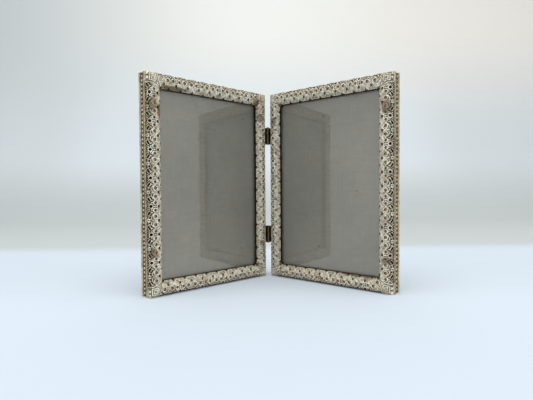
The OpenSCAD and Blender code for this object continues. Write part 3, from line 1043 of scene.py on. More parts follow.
@dataclass(frozen=True)
class Ornament:
    """One raised wire: a line of some length, or the loop at a distance round it, with a round top."""

    s: float
    v: float
    bead: float
    rise: float = 0.3
    radius: float = 0.0
    half: float = 0.0
    turn: float = 0.0
    open: float | None = None
    mouth: ClassVar[float] = math.radians(65)

    def height(self, s: Array, v: Array) -> Array:
        """Height of the ornament at points.

        Args:
            s: Places along the moulding.
            v: Places across it.

        Returns:
            The heights, 0 away from the ornament.
        """
        x, y = s - self.s, v - self.v
        far = np.abs(off_line(x, y, self.half, self.turn) - self.radius)
        if self.open is not None:
            gap = np.abs((np.arctan2(y, x) - math.radians(self.open) + math.pi) % math.tau - math.pi)
            far = far + 2.0 * np.clip(self.mouth - gap, 0, None)
        return self.rise * dome(far, self.bead)


@dataclass(frozen=True)
class Opening:
    """One hole through the sheet, a little smaller than the solid's, with a rim bared of cream and, on some holes,
    painted shade on its walls and rim.
    """

    s: float
    v: float
    radius: float
    half: float = 0.0
    turn: float = 0.0
    three_sided: bool = False
    # How dark the hole's walls and rim are painted, as their shade; then how wide the rim bared of cream is.
    dirt: float = 1.0
    worn: float = 0.1

    def clear(self, s: Array, v: Array) -> Array:
        """Distance of points outside the hole, below 0 inside it.

        Args:
            s: Places along the moulding.
            v: Places across it.

        Returns:
            The distances.
        """
        x, y = s - self.s, v - self.v
        if self.three_sided:
            walls = [x * math.cos(a) + y * math.sin(a) for a in (math.pi / 2, -math.pi / 6, -math.pi * 5 / 6)]
            return np.max(walls, axis=0) - self.radius / 2
        return off_line(x, y, self.half, self.turn) - self.radius


def ring(s: float, v: float, radius: float, bead: float = 0.34, rise: float = 0.33) -> Ornament:
    """A ring of wire."""
    return Ornament(s, v, bead, rise, radius)


def boss(s: float, v: float, radius: float, rise: float = 0.3) -> Ornament:
    """A low dome."""
    return Ornament(s, v, radius, rise)


def wire(s: float, v: float, half: float, turn: float, bead: float = 0.3, rise: float = 0.3) -> Ornament:
    """A straight wire."""
    return Ornament(s, v, bead, rise, 0.0, half, turn)


def loop(s: float, v: float, half: float, turn: float, radius: float, bead: float = 0.3) -> Ornament:
    """A wire laid round a slot."""
    return Ornament(s, v, bead, 0.31, radius, half, turn)


def curl(s: float, v: float, radius: float, open: float, bead: float = 0.28, rise: float = 0.3) -> Ornament:
    """A wire bent round to a C, open towards one side."""
    return Ornament(s, v, bead, rise, radius, open=open)


@dataclass(frozen=True)
class Filigree:
    """Pattern of the pierced sheet over one repeat, the same either side of its middle."""

    moulding: Moulding = Moulding()
    repeat: float = 22.225
    slack: float = 0.07
    base: float = 0.05
    columns: int = 96
    rows: int = 78
    depth: float = 0.35
    wires: tuple[tuple[float, float, float], ...] = ((0.36, 0.36, 0.24), (13.35, 0.2, 0.2))
    sunk: float = 0.12
    hem: float = 0.05
    edge_snap: float = 0.06

    @property
    def openings(self) -> tuple[Opening, ...]:
        """Holes of half a repeat, where the solid has them.

        Returns:
            The holes.
        """
        r, half, less = self.moulding.shoulder_r, self.repeat / 2, self.slack
        crown, star, inner, edge = (self.moulding.across(u) for u in (5.4, 5.5, 8.6, 10.9))
        return (
            Opening(0.0, r * math.radians(53), 1.1 - less, worn=0.24),
            Opening(5.5, r * math.radians(32), 0.625 - less, 0.975, -35.0, worn=0.38),
            Opening(9.0, r * math.radians(43), 1.2 - 2 * less, three_sided=True, worn=0.32),
            Opening(half, r * math.radians(24), 0.35 - less, 0.45, 90.0),
            Opening(2.9, crown, 0.95 - less, dirt=0.0, worn=0.4),
            Opening(7.8, star, 1.3 - less, dirt=0.0, worn=0.26),
            Opening(0.0, inner, 0.95 - less, dirt=0.5, worn=0.38),
            Opening(half, inner, 0.95 - less, dirt=0.5, worn=0.38),
            Opening(5.5, edge, 0.45 - less, worn=0.26),
        )

    @property
    def shade_spots(self) -> tuple[tuple[float, float, float], ...]:
        """Small spots of half a repeat, painted dark as the shade of holes that are not cut: along, across and
        radius.
        """
        return ((2.4, 4.75, 0.42), (5.5, 14.6, 0.6), (11.1, 4.0, 0.3), (5.4, 5.6, 0.34), (0.0, 1.4, 0.45),
                (7.15, 3.15, 0.4), (3.75, 3.6, 0.36))

    @property
    def ornaments(self) -> tuple[Ornament, ...]:
        """Raised work of half a repeat.

        Returns:
            The ornaments, from the shoulder's foot to the sight edge.
        """
        half = self.repeat / 2
        shoulder = (
            ring(0.0, 3.88, 1.5, 0.4), loop(5.5, 2.35, 0.975, -35.0, 1.0, 0.36),
            wire(9.0, 4.2, 1.0, 0.0, 0.36), wire(8.12, 2.62, 0.95, -60.0, 0.32), wire(9.88, 2.62, 0.95, 60.0, 0.32),
            loop(half, 1.76, 0.45, 90.0, 0.7, 0.3), wire(half, 5.1, 0.75, 90.0, 0.32),
            ring(2.4, 4.75, 0.68, 0.24), boss(2.15, 2.35, 0.5), boss(1.05, 1.35, 0.42, 0.24),
            boss(2.75, 1.2, 0.42, 0.24), wire(3.45, 5.65, 0.75, 25.0, 0.26), wire(6.9, 5.15, 0.8, -28.0, 0.3),
            boss(7.1, 1.2, 0.4, 0.24), boss(9.9, 5.4, 0.4), wire(4.9, 4.75, 0.7, 75.0, 0.28),
            boss(10.0, 1.0, 0.36, 0.22),
        )
        crown = (
            boss(0.0, 7.4, 0.62, 0.33), wire(0.0, 6.15, 0.35, 90.0, 0.3), wire(0.0, 8.6, 0.35, 90.0, 0.3),
            ring(2.9, 7.35, 1.34), wire(5.2, 7.4, 0.75, 90.0, 0.36, 0.32), ring(7.8, 7.45, 1.72, 0.36),
            boss(half, 7.45, 0.62, 0.33), ring(half, 7.45, 1.15, 0.24, 0.28),
            wire(1.5, 9.05, 0.55, -50.0, 0.28), wire(4.6, 9.05, 0.55, 35.0, 0.28), boss(6.0, 9.3, 0.36),
            wire(9.75, 9.15, 0.5, 50.0, 0.28), boss(6.0, 5.95, 0.36), boss(1.5, 6.05, 0.34, 0.26),
        )
        shell = tuple(curl(5.55, 9.75, r, -90.0, 0.27) for r in (1.35, 2.15, 2.95, 3.75))
        inner = (
            ring(0.0, 10.53, 1.34), ring(half, 10.53, 1.34), boss(5.55, 10.35, 0.62, 0.32),
            wire(0.0, 12.6, 0.4, 90.0, 0.34), wire(half, 12.6, 0.4, 90.0, 0.34),
            boss(1.55, 12.35, 0.4), boss(9.55, 12.35, 0.4),
        )
        pearls = tuple(boss(self.repeat / 32 * (2 * n + 1), 14.2, 0.56) for n in range(8) if abs(n - 3.5) > 1)
        ropes = tuple(wire(self.repeat / 36 * (2 * n + 1), 15.2, 0.3, 60.0, 0.26, 0.24) for n in range(9))
        return shoulder + crown + shell + inner + pearls + ropes

    def height(self, s: Array, v: Array) -> Array:
        """Height of the raised work over the bare sheet.

        Args:
            s: Places along the moulding, from the repeat's middle.
            v: Places across it.

        Returns:
            The heights.
        """
        a = np.abs(s)
        rise = np.zeros_like(a)
        for image in (a, -a, self.repeat - a):
            for ornament in self.ornaments:
                rise = np.maximum(rise, ornament.height(image, v))
        for at, half, top in self.wires:
            rise = np.maximum(rise, top * dome(v - at, half))
        return rise

    def clear(self, s: Array, v: Array) -> Array:
        """Distance of points outside the nearest hole, below 0 in a hole."""
        return np.min([far for far, _ in self._around(s, v)], axis=0)

    def _around(self, s: Array, v: Array) -> list[tuple[Array, Opening]]:
        """Distances of points outside each hole and its images, with the hole."""
        a = np.abs(s)
        return [(o.clear(image, v), o) for image in (a, -a, self.repeat - a) for o in self.openings]

    def tone(self, s: Array, v: Array, rise: Array) -> Array:
        """How creamy the sheet is at points, and how dark: darker in the hollows, with painted shade in holes, dark
        spots, the shoulder's foot and the sight wall.

        Args:
            s: Places along the moulding.
            v: Places across it.
            rise: Heights of the raised work there.

        Returns:
            Two columns, each from 0 to 1.
        """
        a = np.abs(s)
        cream = np.maximum(ramp(rise, 0.13, 0.09), 0.14 + 0.22 * ramp(v, 2.6, 3.4))
        deep = ramp(rise, 0.06, -0.06) * (0.34 - 0.3 * ramp(v, 7.8, 1.6))
        # Dark spots painted as the shade of holes that are not cut.
        pit = np.max([np.clip(1.5 - np.hypot(a - x, v - y) / r, 0, 1) for x, y, r in self.shade_spots], axis=0)
        # Rims lose their cream and take the hole's painted shade.
        for far, hole in self._around(s, v):
            bare = ramp(far, hole.worn, -0.14)
            cream, deep = cream * (1 - bare), np.maximum(deep * (1 - bare), bare * hole.dirt)
        # Painted shade: dark at the shoulder's foot and on the sight wall below the lip.
        foot = ramp(v, 0.8, -0.3) * 0.7
        lip, sight_wall_shade = (ramp(v, self.moulding.face_end + start, length) for start, length in ((-0.1, 0.35), (0.3, 1.4)))
        dark_and_painted_shade = np.max([deep * (1 - lip), pit * (1 - lip), foot, sight_wall_shade], axis=0)
        return np.stack([cream * (1 - lip) * (1 - foot) * (1 - pit), dark_and_painted_shade], 1)

    def tile(self) -> Sheet:
        """One repeat of the sheet, with the walls of its holes.

        Returns:
            The tile in the moulding's own frame: along, depth, distance from the wall.
        """
        half = self.repeat / 2
        flat = Sheet.grid(np.linspace(-half, half, self.columns + 1),
                          np.linspace(0.0, self.moulding.end - self.hem, self.rows + 1))
        self._snap(flat, half)
        cut = flat.clipped(self.clear(flat.points[:, 0], flat.points[:, 1]) + TINY)
        s, v = cut.points[:, 0], cut.points[:, 1]
        rise = self.height(s, v)
        cut.tone = self.tone(s, v, rise)
        border = (v < TINY) | (v > self.moulding.end - 1.2 * self.hem)
        level = np.where(border, -self.sunk, self.base + rise * 0.97)
        edges = cut.rim()
        seam = (np.abs(np.abs(s) - half) < TINY) | border
        edges = edges[~(seam[edges[:, 0]] & seam[edges[:, 1]])]
        lows, index = np.unique(edges, return_inverse=True)
        index = index.reshape(-1, 2) + len(s)
        walls = np.concatenate([np.stack([edges[:, 1], edges[:, 0], index[:, 0]], 1),
                                np.stack([edges[:, 1], index[:, 0], index[:, 1]], 1)])
        s, v = np.r_[s, s[lows]], np.r_[v, v[lows]]
        level = np.r_[level, np.full(len(lows), -self.depth)]
        d, u = self.moulding.place(v, level)
        # Hole walls lose their cream and keep the rim's painted shade.
        tone = np.concatenate([cut.tone, cut.tone[lows] * (0.0, 1.0)])
        return Sheet(np.stack([s, d, u], 1), np.concatenate([cut.faces, walls]), tone)

    def _snap(self, flat: Sheet, half: float) -> None:
        """Moves the grid's points that almost touch a hole's edge onto it.

        Args:
            flat: The flat grid, which is changed.
            half: Half the repeat, whose points stay on the seam.
        """
        s, v = flat.points[:, 0], flat.points[:, 1]
        far, nudge = self.clear(s, v), 1e-4
        near = np.abs(far) < self.edge_snap
        slope_s = (self.clear(s + nudge, v) - self.clear(s - nudge, v)) / (2 * nudge)
        slope_v = (self.clear(s, v + nudge) - self.clear(s, v - nudge)) / (2 * nudge)
        slope_s[np.abs(np.abs(s) - half) < TINY] = 0.0
        size = np.maximum(slope_s ** 2 + slope_v ** 2, 0.25)
        flat.points[near, 0] -= (far * slope_s / size)[near]
        flat.points[near, 1] -= (far * slope_v / size)[near]


@dataclass(frozen=True)
class Beading:
    """Row of beads and reels in the groove of the outer walls."""

    pitch: float = 3.3
    bead_r: float = 1.24
    reel_r: float = 0.42
    columns: int = 9
    rows: int = 7
    floor: float = 0.88
    top: float = 0.05
    low: float = 8.05
    high: float = 11.15

    def tile(self) -> Sheet:
        """One bead with the reel beside it.

        Returns:
            The tile in the moulding's own frame.
        """
        flat = Sheet.grid(np.linspace(-self.pitch / 2, self.pitch / 2, self.columns),
                          np.linspace(self.low, self.high, self.rows))
        s, d = flat.points[:, 0], flat.points[:, 1]
        y = d - (self.low + self.high) / 2
        bead = dome(np.hypot(s, y), self.bead_r)
        reel = 0.62 * dome(np.hypot(np.abs(s) - self.pitch / 2, y * 0.62), self.reel_r)
        fillet = 0.3 * dome(np.abs(y) - 1.42, 0.14)
        rise = np.maximum(np.maximum(bead, reel), fillet)
        edge = (d < self.low + TINY) | (d > self.high - TINY)
        u = self.floor - np.where(edge, 0.0, rise * (self.floor - self.top))
        cream = 0.16 + ramp(np.maximum(bead, reel), 0.3, 0.5) * 0.44
        # Darker where the beading lies low between the beads.
        dark_and_painted_shade = np.clip(0.5 - rise * 1.4, 0, 1) * 0.3
        return Sheet(np.stack([s, d, u], 1), flat.faces, np.stack([cream, dark_and_painted_shade], 1))


@dataclass(frozen=True)
class Strap:
    """A flared strap over a corner, from the outer walls to the sight edge."""

    moulding: Moulding = Moulding()
    reach: float = 9.0
    start: float = 1.4
    hollow_r: float = 13.4
    ground: float = 0.22
    top: float = 0.49
    eye_at: float = 4.85
    key_r: float = 3.1
    square_step: float = 1.24
    pearl_at: float = 12.5
    web_r: float = 2.4
    hem: float = 0.03
    sunk: float = 0.2
    columns: int = 41
    rows: int = 86

    @property
    def waist(self) -> float:
        """Width of the strap's straight end along one wall."""
        return self.reach + self.hollow_r - self.start - 2 * self.hollow_r * math.sin(math.pi / 4)

    def edge(self, u: Array) -> Array:
        """Where the strap ends along the moulding.

        Args:
            u: Distances from the outer wall.

        Returns:
            Distances from the other outer wall.
        """
        centre = self.reach + self.hollow_r
        inside = np.clip(self.hollow_r ** 2 - (u - self.start) ** 2, 0, None)
        waist_u = self.start + self.hollow_r * math.sin(math.pi / 4)
        return np.where(u > waist_u, u + self.waist, centre - np.sqrt(inside))

    def _inset(self, x: Array, z: Array) -> Array:
        """Distance of plan points inside the strap's long edges.

        Args:
            x: Distances along one wall.
            z: Distances along the other wall.

        Returns:
            The distances.
        """
        far, near = np.maximum(x, z), np.minimum(x, z)
        hollow = np.hypot(far - self.reach - self.hollow_r, near - self.start) - self.hollow_r
        straight = (self.waist - (far - near)) / math.sqrt(2)
        past = (x + z) > (self.reach + self.hollow_r + self.start)
        return np.where(past, straight, hollow)

    def relief(self, x: Array, z: Array, v: Array) -> tuple[Array, Array]:
        """Height over the moulding, and tones, at plan points.

        Args:
            x: Distances along one wall.
            z: Distances along the other wall.
            v: Lengths across the moulding.

        Returns:
            The heights and the two tones.
        """
        inset = self._inset(x, z)
        along, off = (x + z) / math.sqrt(2), np.abs(x - z) / math.sqrt(2)
        eye = self.eye_at * math.sqrt(2)
        key = np.maximum(np.abs(x - self.eye_at), np.abs(z - self.eye_at))
        step = self.square_step
        squares = dome((key + step / 2) % step - step / 2, 0.42) * ((key < self.key_r) | (along < eye))
        legs = np.maximum(dome(off, 0.36), dome(inset - 1.45, 0.34)) * (key >= self.key_r) * (along > eye)
        pearl = dome(np.hypot(along - self.pearl_at, off), 0.7)
        rise = np.maximum(dome(inset - 0.3, 0.36), ramp(inset, 1.0, 0.2) * np.max([squares, legs, pearl], axis=0))
        rise = np.maximum(rise, dome(v - 0.5, 0.45) * 0.8)
        # Two spots by each wall, sunk a little and painted black as their shade.
        pit = np.max([np.clip(1.7 - np.hypot(np.maximum(x, z) - far, np.minimum(x, z) - 1.1) / 0.42, 0, 1)
                      for far in (3.5, 6.9)], axis=0)
        groove = np.clip(1.6 - np.abs(inset - 0.92) / 0.26, 0, 1)
        cream = ramp(rise, 0.15, 0.3) * (1 - pit) * (1 - groove) * (1 - 0.7 * ramp(along, 15.6, 0.8))
        # Painted shade on the sight wall and at the strap's foot; the outline grooves are brown.
        lip = ramp(v, self.moulding.face_end - 0.2, 0.6)
        dark_and_painted_shade = np.max([pit, 0.55 * groove, lip, ramp(v, 0.3, -0.3)], axis=0)
        height = self.ground + (self.top - self.ground) * rise * (1 - pit) - 0.35 * pit
        return height, np.stack([cream, dark_and_painted_shade], 1)

    def sheet(self) -> Sheet:
        """The strap over the corner where both outer walls meet at 0.

        Returns:
            The strap in the panel's own frame: x, d, z.
        """
        end = self.moulding.end - self.hem
        steps = np.r_[np.linspace(0.0, 1.0, self.columns), 1.0]
        flat = Sheet.grid(steps, np.linspace(0.0, end, self.rows))
        t, v = flat.points[:, 0].copy(), flat.points[:, 1]
        _, u = self.moulding.place(v, np.zeros_like(v))
        corner = self.web_r * (1 - math.sqrt(0.5))
        inner = self.moulding.lean(v)
        q = corner + t * (self.waist - corner)
        swell = self.web_r - np.sqrt(np.clip(self.web_r ** 2 - np.clip(self.web_r - q, 0, None) ** 2, 0, None))
        x = u + t * (self.edge(u) - u) + inner * corner * (1 - t)
        height, tone = self.relief(x, u + swell * inner, v)
        skirt = np.arange(len(t)) >= self.columns * self.rows
        height = np.where(skirt | (v < TINY) | (v > end - TINY), -self.sunk, height)
        d, z = self.moulding.place(v, height, swell)
        mitre = t < 1e-9
        x = np.where(mitre, z, x)
        leg = Sheet(np.stack([x, d, z], 1), flat.faces, tone)
        return Sheet.joined([leg, leg.moved(ACROSS_MITRE)])


class Panel:
    """One picture frame of the pair: its mouldings, straps, beading, glass, card and back."""

    width = 127.0
    height = 178.0
    under_strap = 0.3
    mitre_gap = 0.02
    phases = {
        Side.LEFT: {Edge.TOP: 0.562, Edge.BOTTOM: 0.486, Edge.OUTER: 0.256, Edge.HINGE: 0.045},
        Side.RIGHT: {Edge.TOP: 0.396, Edge.BOTTOM: 0.643, Edge.OUTER: 0.423, Edge.HINGE: 0.409},
    }

    def __init__(self, side: Side, run: StampedRun, filigree: Filigree, beading: Beading, strap: Strap) -> None:
        """Takes the stock that the panel is made from.

        Args:
            side: Which panel.
            run: Maker of runs of stamped stock.
            filigree: Pattern of the pierced sheet.
            beading: Beads in the outer walls.
            strap: Strap over each corner.
        """
        self.side, self.run = side, run
        self.filigree, self.beading, self.strap = filigree, beading, strap
        self.body = f"{side.word}_panel"
        self.lace = CreamedFiligree(side).build(f"{side.word}_creamed_filigree")

    def length(self, edge: Edge) -> float:
        """Length of a moulding at its outer wall."""
        return self.height if edge.upright else self.width

    def onto(self, edge: Edge) -> Matrix:
        """Turns a moulding's own frame (along, depth, from the wall) into the panel's.

        Args:
            edge: Which moulding.

        Returns:
            The matrix, in millimetres.
        """
        return {
            Edge.BOTTOM: Matrix.Identity(4),
            Edge.TOP: Matrix.Translation((0, 0, self.height)) @ Matrix.Diagonal((1, 1, -1, 1)),
            Edge.HINGE: ACROSS_MITRE,
            Edge.OUTER: Matrix.Translation((self.width, 0, 0)) @ Matrix.Diagonal((-1, 1, 1, 1)) @ ACROSS_MITRE,
        }[edge]

    def build_filigree(self, edge: Edge, tile: Sheet) -> None:
        """Covers a moulding with the pierced sheet, cut at the straps.

        Args:
            edge: Which moulding.
            tile: One repeat of the sheet.
        """
        length, repeat = self.length(edge), self.filigree.repeat
        start = self.phases[self.side][edge] * repeat - repeat
        sheet = self.run.make(tile, repeat, start, math.ceil(length / repeat) + 2, self.lace)
        sheet = self._ended(sheet, edge, lambda u: self.strap.edge(u) - self.under_strap)
        self._paint_shade(edge, sheet)
        placed = sheet.moved(STANCE.panel(self.side) @ self.onto(edge))
        piece(f"{self.side.word}_{edge.value}_filigree", placed, self.lace, self.body)

    def _ended(self, sheet: Sheet, edge: Edge, end: Callable[[Array], Array]) -> Sheet:
        """Cuts both ends of a moulding's sheet.

        Args:
            sheet: The sheet in the moulding's own frame.
            edge: Which moulding.
            end: Where the sheet ends, by distance from the outer wall.

        Returns:
            What lies between the ends.
        """
        for far in (False, True):
            s, u = sheet.points[:, 0], sheet.points[:, 2]
            sheet = sheet.clipped((self.length(edge) - s if far else s) - end(u))
        return sheet

    @staticmethod
    def _paint_shade(edge: Edge, sheet: Sheet) -> None:
        """Paints shade on all sight walls but the outer moulding's, for the shade under the lip, and on the foot of
        the bottom moulding, for its contact shadow.

        Args:
            edge: Which moulding.
            sheet: Its sheet in the moulding's own frame, whose tone is changed.
        """
        d, u = sheet.points[:, 1], sheet.points[:, 2]
        sight_and_foot_shade = np.zeros(len(d))
        if edge is not Edge.OUTER:
            # Painted shade on the sight wall near the glass, for the shade under the lip.
            sight_and_foot_shade = ramp(d, 2.6, 0.3) * (u > 10.5)
        if edge is Edge.BOTTOM:
            # Painted contact shadow on the bottom moulding's foot.
            sight_and_foot_shade = np.maximum(sight_and_foot_shade, ramp(d, 1.0, 0.4) * (u < 3))
        sheet.tone[:, 0] *= 1 - sight_and_foot_shade
        sheet.tone[:, 1] = np.maximum(sheet.tone[:, 1], sight_and_foot_shade)

    def build_beading(self) -> None:
        """Lays the beads in the grooves of the four outer walls."""
        tile, pitch, sides = self.beading.tile(), self.beading.pitch, []
        for edge in Edge:
            length = self.length(edge)
            half = math.ceil(length / pitch / 2)
            sheet = self.run.make(tile, pitch, length / 2 - half * pitch, 2 * half + 1, self.lace)
            sheet = self._ended(sheet, edge, lambda u: u + self.mitre_gap)
            sides.append(sheet.moved(STANCE.panel(self.side) @ self.onto(edge)))
        piece(f"{self.side.word}_beading", Sheet.joined(sides), self.lace, self.body,
              (f"{self.side.word}_bead_strips",))

    def build_straps(self) -> None:
        """Sets a strap over each corner."""
        one, corners = self.strap.sheet(), []
        for x in (0, 1):
            for z in (0, 1):
                turn = Matrix.Diagonal((1 - 2 * x, 1, 1 - 2 * z, 1))
                corner = Matrix.Translation((x * self.width, 0, z * self.height)) @ turn
                corners.append(one.moved(STANCE.panel(self.side) @ corner))
        piece(f"{self.side.word}_straps", Sheet.joined(corners), self.lace, self.body,
              (f"{self.side.word}_corner_straps",))

    def dress(self, finishes: dict[str, bpy.types.Material]) -> None:
        """Gives the solids that stay in view their finishes.

        Args:
            finishes: Materials of the inner parts, by the end of the node's name.
        """
        gilding = {upright: GiltSide(self.side, upright).build(
            f"{self.side.word}_gilt_{'stiles' if upright else 'rails'}") for upright in (False, True)}
        for edge in Edge:
            paint(f"{self.side.word}_{edge.value}", gilding[edge.upright])
        for end, material in finishes.items():
            paint(f"{self.side.word}_{end}", material)

    def build(self, tile: Sheet, finishes: dict[str, bpy.types.Material]) -> None:
        """Builds and dresses the whole panel.

        Args:
            tile: One repeat of the pierced sheet.
            finishes: Materials of the inner parts.
        """
        for edge in Edge:
            self.build_filigree(edge, tile)
        self.build_beading()
        self.build_straps()
        self.dress(finishes)


def paint(node: str, material: bpy.types.Material) -> None:
    """Gives a CAD node a material.

    Args:
        node: Name of the node.
        material: Its material.
    """
    slots = frame["nodes"][node].data.materials
    slots.clear()
    slots.append(material)
    LOG.info("%s: %s", node, material.name)


@dataclass
class Hinges:
    """The two butt hinges between the panels."""

    # Near-black leaves: a blackened finish that also stands in for the shade between the side walls.
    leaf: OldMetal = OldMetal(linear(40, 33, 25), linear(17, 14, 11), 0.5, 0.6, linear(158, 128, 74))
    pin: OldMetal = OldMetal(linear(176, 144, 90), linear(110, 84, 50), 0.38)
    places: tuple[str, ...] = ("upper", "lower")

    def dress(self) -> None:
        """Gives leaves, pins and rivets their finishes."""
        leaf, pin = self.leaf.build("hinge_black_and_shade"), self.pin.build("brass_pin")
        for place in self.places:
            for side in Side:
                paint(f"{place}_{side.word}_leaf", leaf)
            paint(f"{place}_pin", pin)
        for side in Side:
            paint(f"{side.word}_hinge_rivets", pin)


@dataclass
class Studio:
    """Camera, floor, backdrop and lamps, in metres but for the camera's eye."""

    lens: float = 28.5
    eye: tuple[float, float, float] = (-13.19, -414.33, 85.77)
    sensor: float = 36.0
    clip: tuple[float, float] = (0.01, 20.0)
    yaw: float = 1.601
    pitch: float = 1.561
    roll: float = 0.388
    # Paper colours by place, painting light and shade: the floor greyer far back, the wall lighter near the middle,
    # and high up dim at the left and lighter in the middle.
    floor: Colour = linear(211, 221, 230)
    shaded_far_floor: Colour = linear(199, 204, 203)
    wall: Colour = linear(215, 221, 223)
    lit_near_wall: Colour = linear(222, 229, 232)
    above: tuple[Colour, ...] = (linear(208, 212, 211), linear(244, 243, 236), linear(241, 236, 228))
    mirrored: Colour = linear(246, 245, 240)
    far_from: tuple[float, float] = (0.19, 0.27)
    near_to: tuple[float, float] = (0.5, 0.75)
    wall_from: tuple[float, float] = (0.02, 0.2)
    above_from: tuple[float, float] = (0.22, 0.7)
    lamps: tuple[tuple, ...] = (
        ("top", (0.0, -0.3, 1.5), 1.2, 15.0), ("left", (-1.5, -0.6, 0.6), 1.3, 7.0),
        ("right", (1.5, -0.6, 0.6), 1.3, 7.0))
    aim: tuple[float, float, float] = (0.0, 0.0, 0.09)
    ambient: Colour = (0.93, 0.96, 1.0)
    ambient_strength: float = 0.55
    own_glow: float = 0.06
    reach: float = 3.0
    floor_to: float = 0.7
    bend: float = 0.5

    def build_camera(self) -> None:
        """Places the camera as the photograph was taken."""
        yaw, pitch, roll = (math.radians(a) for a in (self.yaw, self.pitch, self.roll))
        ahead = Vector((math.sin(yaw) * math.cos(pitch), math.cos(yaw) * math.cos(pitch), -math.sin(pitch)))
        right = ahead.cross(Vector((0, 0, 1))).normalized()
        up = right.cross(ahead)
        right, up = (right * math.cos(roll) - up * math.sin(roll), up * math.cos(roll) + right * math.sin(roll))
        data = bpy.data.cameras.new("camera")
        data.lens, data.sensor_width = self.lens, self.sensor
        data.clip_start, data.clip_end = self.clip
        camera = bpy.data.objects.new("camera", data)
        spot = Vector(self.eye) * MM + Vector((0, STANCE.pin_y * MM, 0))
        camera.matrix_world = Matrix.Translation(spot) @ Matrix((right, up, -ahead)).transposed().to_4x4()
        bpy.context.scene.collection.objects.link(camera)
        bpy.context.scene.camera = camera

    def build_sweep(self) -> None:
        """Makes the floor that curves up into the backdrop."""
        profile = [(-2.5, 0.0), (self.floor_to, 0.0)]
        profile += [(self.floor_to + self.bend * math.sin(a), self.bend - self.bend * math.cos(a))
                    for a in np.linspace(0.1, math.pi / 2, 16)]
        profile.append((self.floor_to + self.bend, self.reach))
        points = [(x, y, z - 0.05 * MM) for y, z in profile for x in (-self.reach, self.reach)]
        faces = [(2 * i, 2 * i + 1, 2 * i + 3, 2 * i + 2) for i in range(len(profile) - 1)]
        mesh = bpy.data.meshes.new("sweep")
        mesh.from_pydata(points, [], faces)
        mesh.polygons.foreach_set("use_smooth", [True] * len(faces))
        mesh.materials.append(self._paper())
        sweep = bpy.data.objects.new("sweep", mesh)
        bpy.context.scene.collection.objects.link(sweep)

    def _paper(self) -> bpy.types.Material:
        """Paper that shows its own pale colour to the camera and keeps the object's shadow.

        Returns:
            The material.
        """
        material, graph, shader, output = new_material("studio_paper")
        spot = graph.add("ShaderNodeSeparateXYZ", {0: graph.place()})
        across, back, height = spot.outputs
        # Painted light and shade on the paper: zones lighter or darker by place.
        above = graph.mix(graph.step(across, -1.0, 0.0), self.above[0], self.above[1])
        above = graph.mix(graph.step(across, 0.0, 0.7), above, self.above[2])
        colour = graph.mix(graph.step(back, *self.far_from), self.floor, self.shaded_far_floor)
        wall = graph.mix(graph.step(graph.math("ABSOLUTE", across), *self.near_to), self.lit_near_wall, self.wall)
        colour = graph.mix(graph.step(height, *self.wall_from), colour, wall)
        colour = graph.mix(graph.step(height, *self.above_from), colour, above)
        graph.feed_all(shader, {"Base Color": colour, "Roughness": 0.9, "Specular IOR Level": 0.1})
        path = graph.add("ShaderNodeLightPath")
        mirrored = graph.most(path.outputs["Is Glossy Ray"], path.outputs["Is Transmission Ray"])
        glow = graph.add("ShaderNodeEmission", {"Color": graph.mix(mirrored, colour, self.mirrored), "Strength": 1.0})
        share = graph.most(graph.times(path.outputs["Is Camera Ray"], self.own_glow), mirrored)
        both = graph.add("ShaderNodeMixShader", {0: share, 1: shader.outputs[0], 2: glow.outputs[0]})
        graph.feed(output.inputs["Surface"], both.outputs[0])
        return material

    def build_light(self) -> None:
        """Sets the soft lamps and the pale world."""
        for name, spot, size, power in self.lamps:
            lamp = bpy.data.lights.new(name, "AREA")
            lamp.shape, lamp.size, lamp.energy = "SQUARE", size, power
            holder = bpy.data.objects.new(name, lamp)
            holder.location = spot
            holder.rotation_euler = (Vector(self.aim) - Vector(spot)).to_track_quat("-Z", "Y").to_euler()
            holder.visible_glossy = holder.visible_transmission = False
            bpy.context.scene.collection.objects.link(holder)
        world = bpy.data.worlds.new("studio")
        world.use_nodes = True
        graph = Graph(world.node_tree)
        dim = graph.tree.nodes["Background"]
        graph.feed_all(dim, {"Color": self.ambient, "Strength": self.ambient_strength})
        path = graph.add("ShaderNodeLightPath")
        shown = graph.mix(path.outputs["Is Camera Ray"], self.mirrored, self.above[1])
        pale = graph.add("ShaderNodeBackground", {"Color": shown, "Strength": 1.0})
        seen = graph.most(*(path.outputs[f"Is {ray} Ray"] for ray in ("Camera", "Glossy", "Transmission")))
        both = graph.add("ShaderNodeMixShader", {0: seen, 1: dim.outputs[0], 2: pale.outputs[0]})
        graph.feed(graph.tree.nodes["World Output"].inputs["Surface"], both.outputs[0])
        bpy.context.scene.world = world

    def build(self) -> None:
        """Builds the whole studio."""
        self.build_camera()
        self.build_sweep()
        self.build_light()
        bpy.context.scene.view_settings.view_transform = "Standard"


def inner_finishes() -> dict[str, bpy.types.Material]:
    """Finishes of the parts behind the mouldings.

    Returns:
        Materials by the end of the node's name.
    """
    gilt = OldMetal(linear(204, 174, 128), linear(160, 130, 90), 0.5, 0.2).build("gilt_liner")
    ring_metal = OldMetal(linear(152, 126, 84), linear(106, 86, 58), 0.46, 0.6).build("gilt_ring")
    brass = OldMetal(linear(142, 112, 66), linear(78, 60, 38), 0.36).build("aged_brass")
    board = Fibreboard().build("brown_board")
    buttons = {f"{spot}_button": brass for spot in ("top", "bottom", "outer", "hinge")}
    return {
        "liner": gilt, "back_ring": ring_metal, "button_rivets": brass, **buttons,
        "glass": ClearGlass().build("clear_glass"), "picture_card": GreyCard().build("grey_card"),
        "filler_card": board, "back_board": board, "back_cloth": Velvet().build("dark_velvet"),
    }


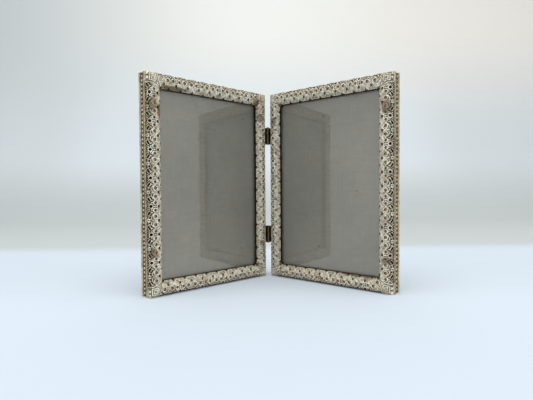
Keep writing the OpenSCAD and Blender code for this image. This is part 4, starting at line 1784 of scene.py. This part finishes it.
def main() -> None:
    """Builds the studio, both panels and the hinges."""
    logging.basicConfig(level=logging.INFO, format="%(message)s")
    Studio().build()
    run, filigree = StampedRun(), Filigree()
    tile, finishes = filigree.tile(), inner_finishes()
    LOG.info("tile: %d triangles", len(tile.faces))
    for side in Side:
        Panel(side, run, filigree, Beading(), Strap()).build(tile, finishes)
    Hinges().dress()


if __name__ == "__main__":
    main()
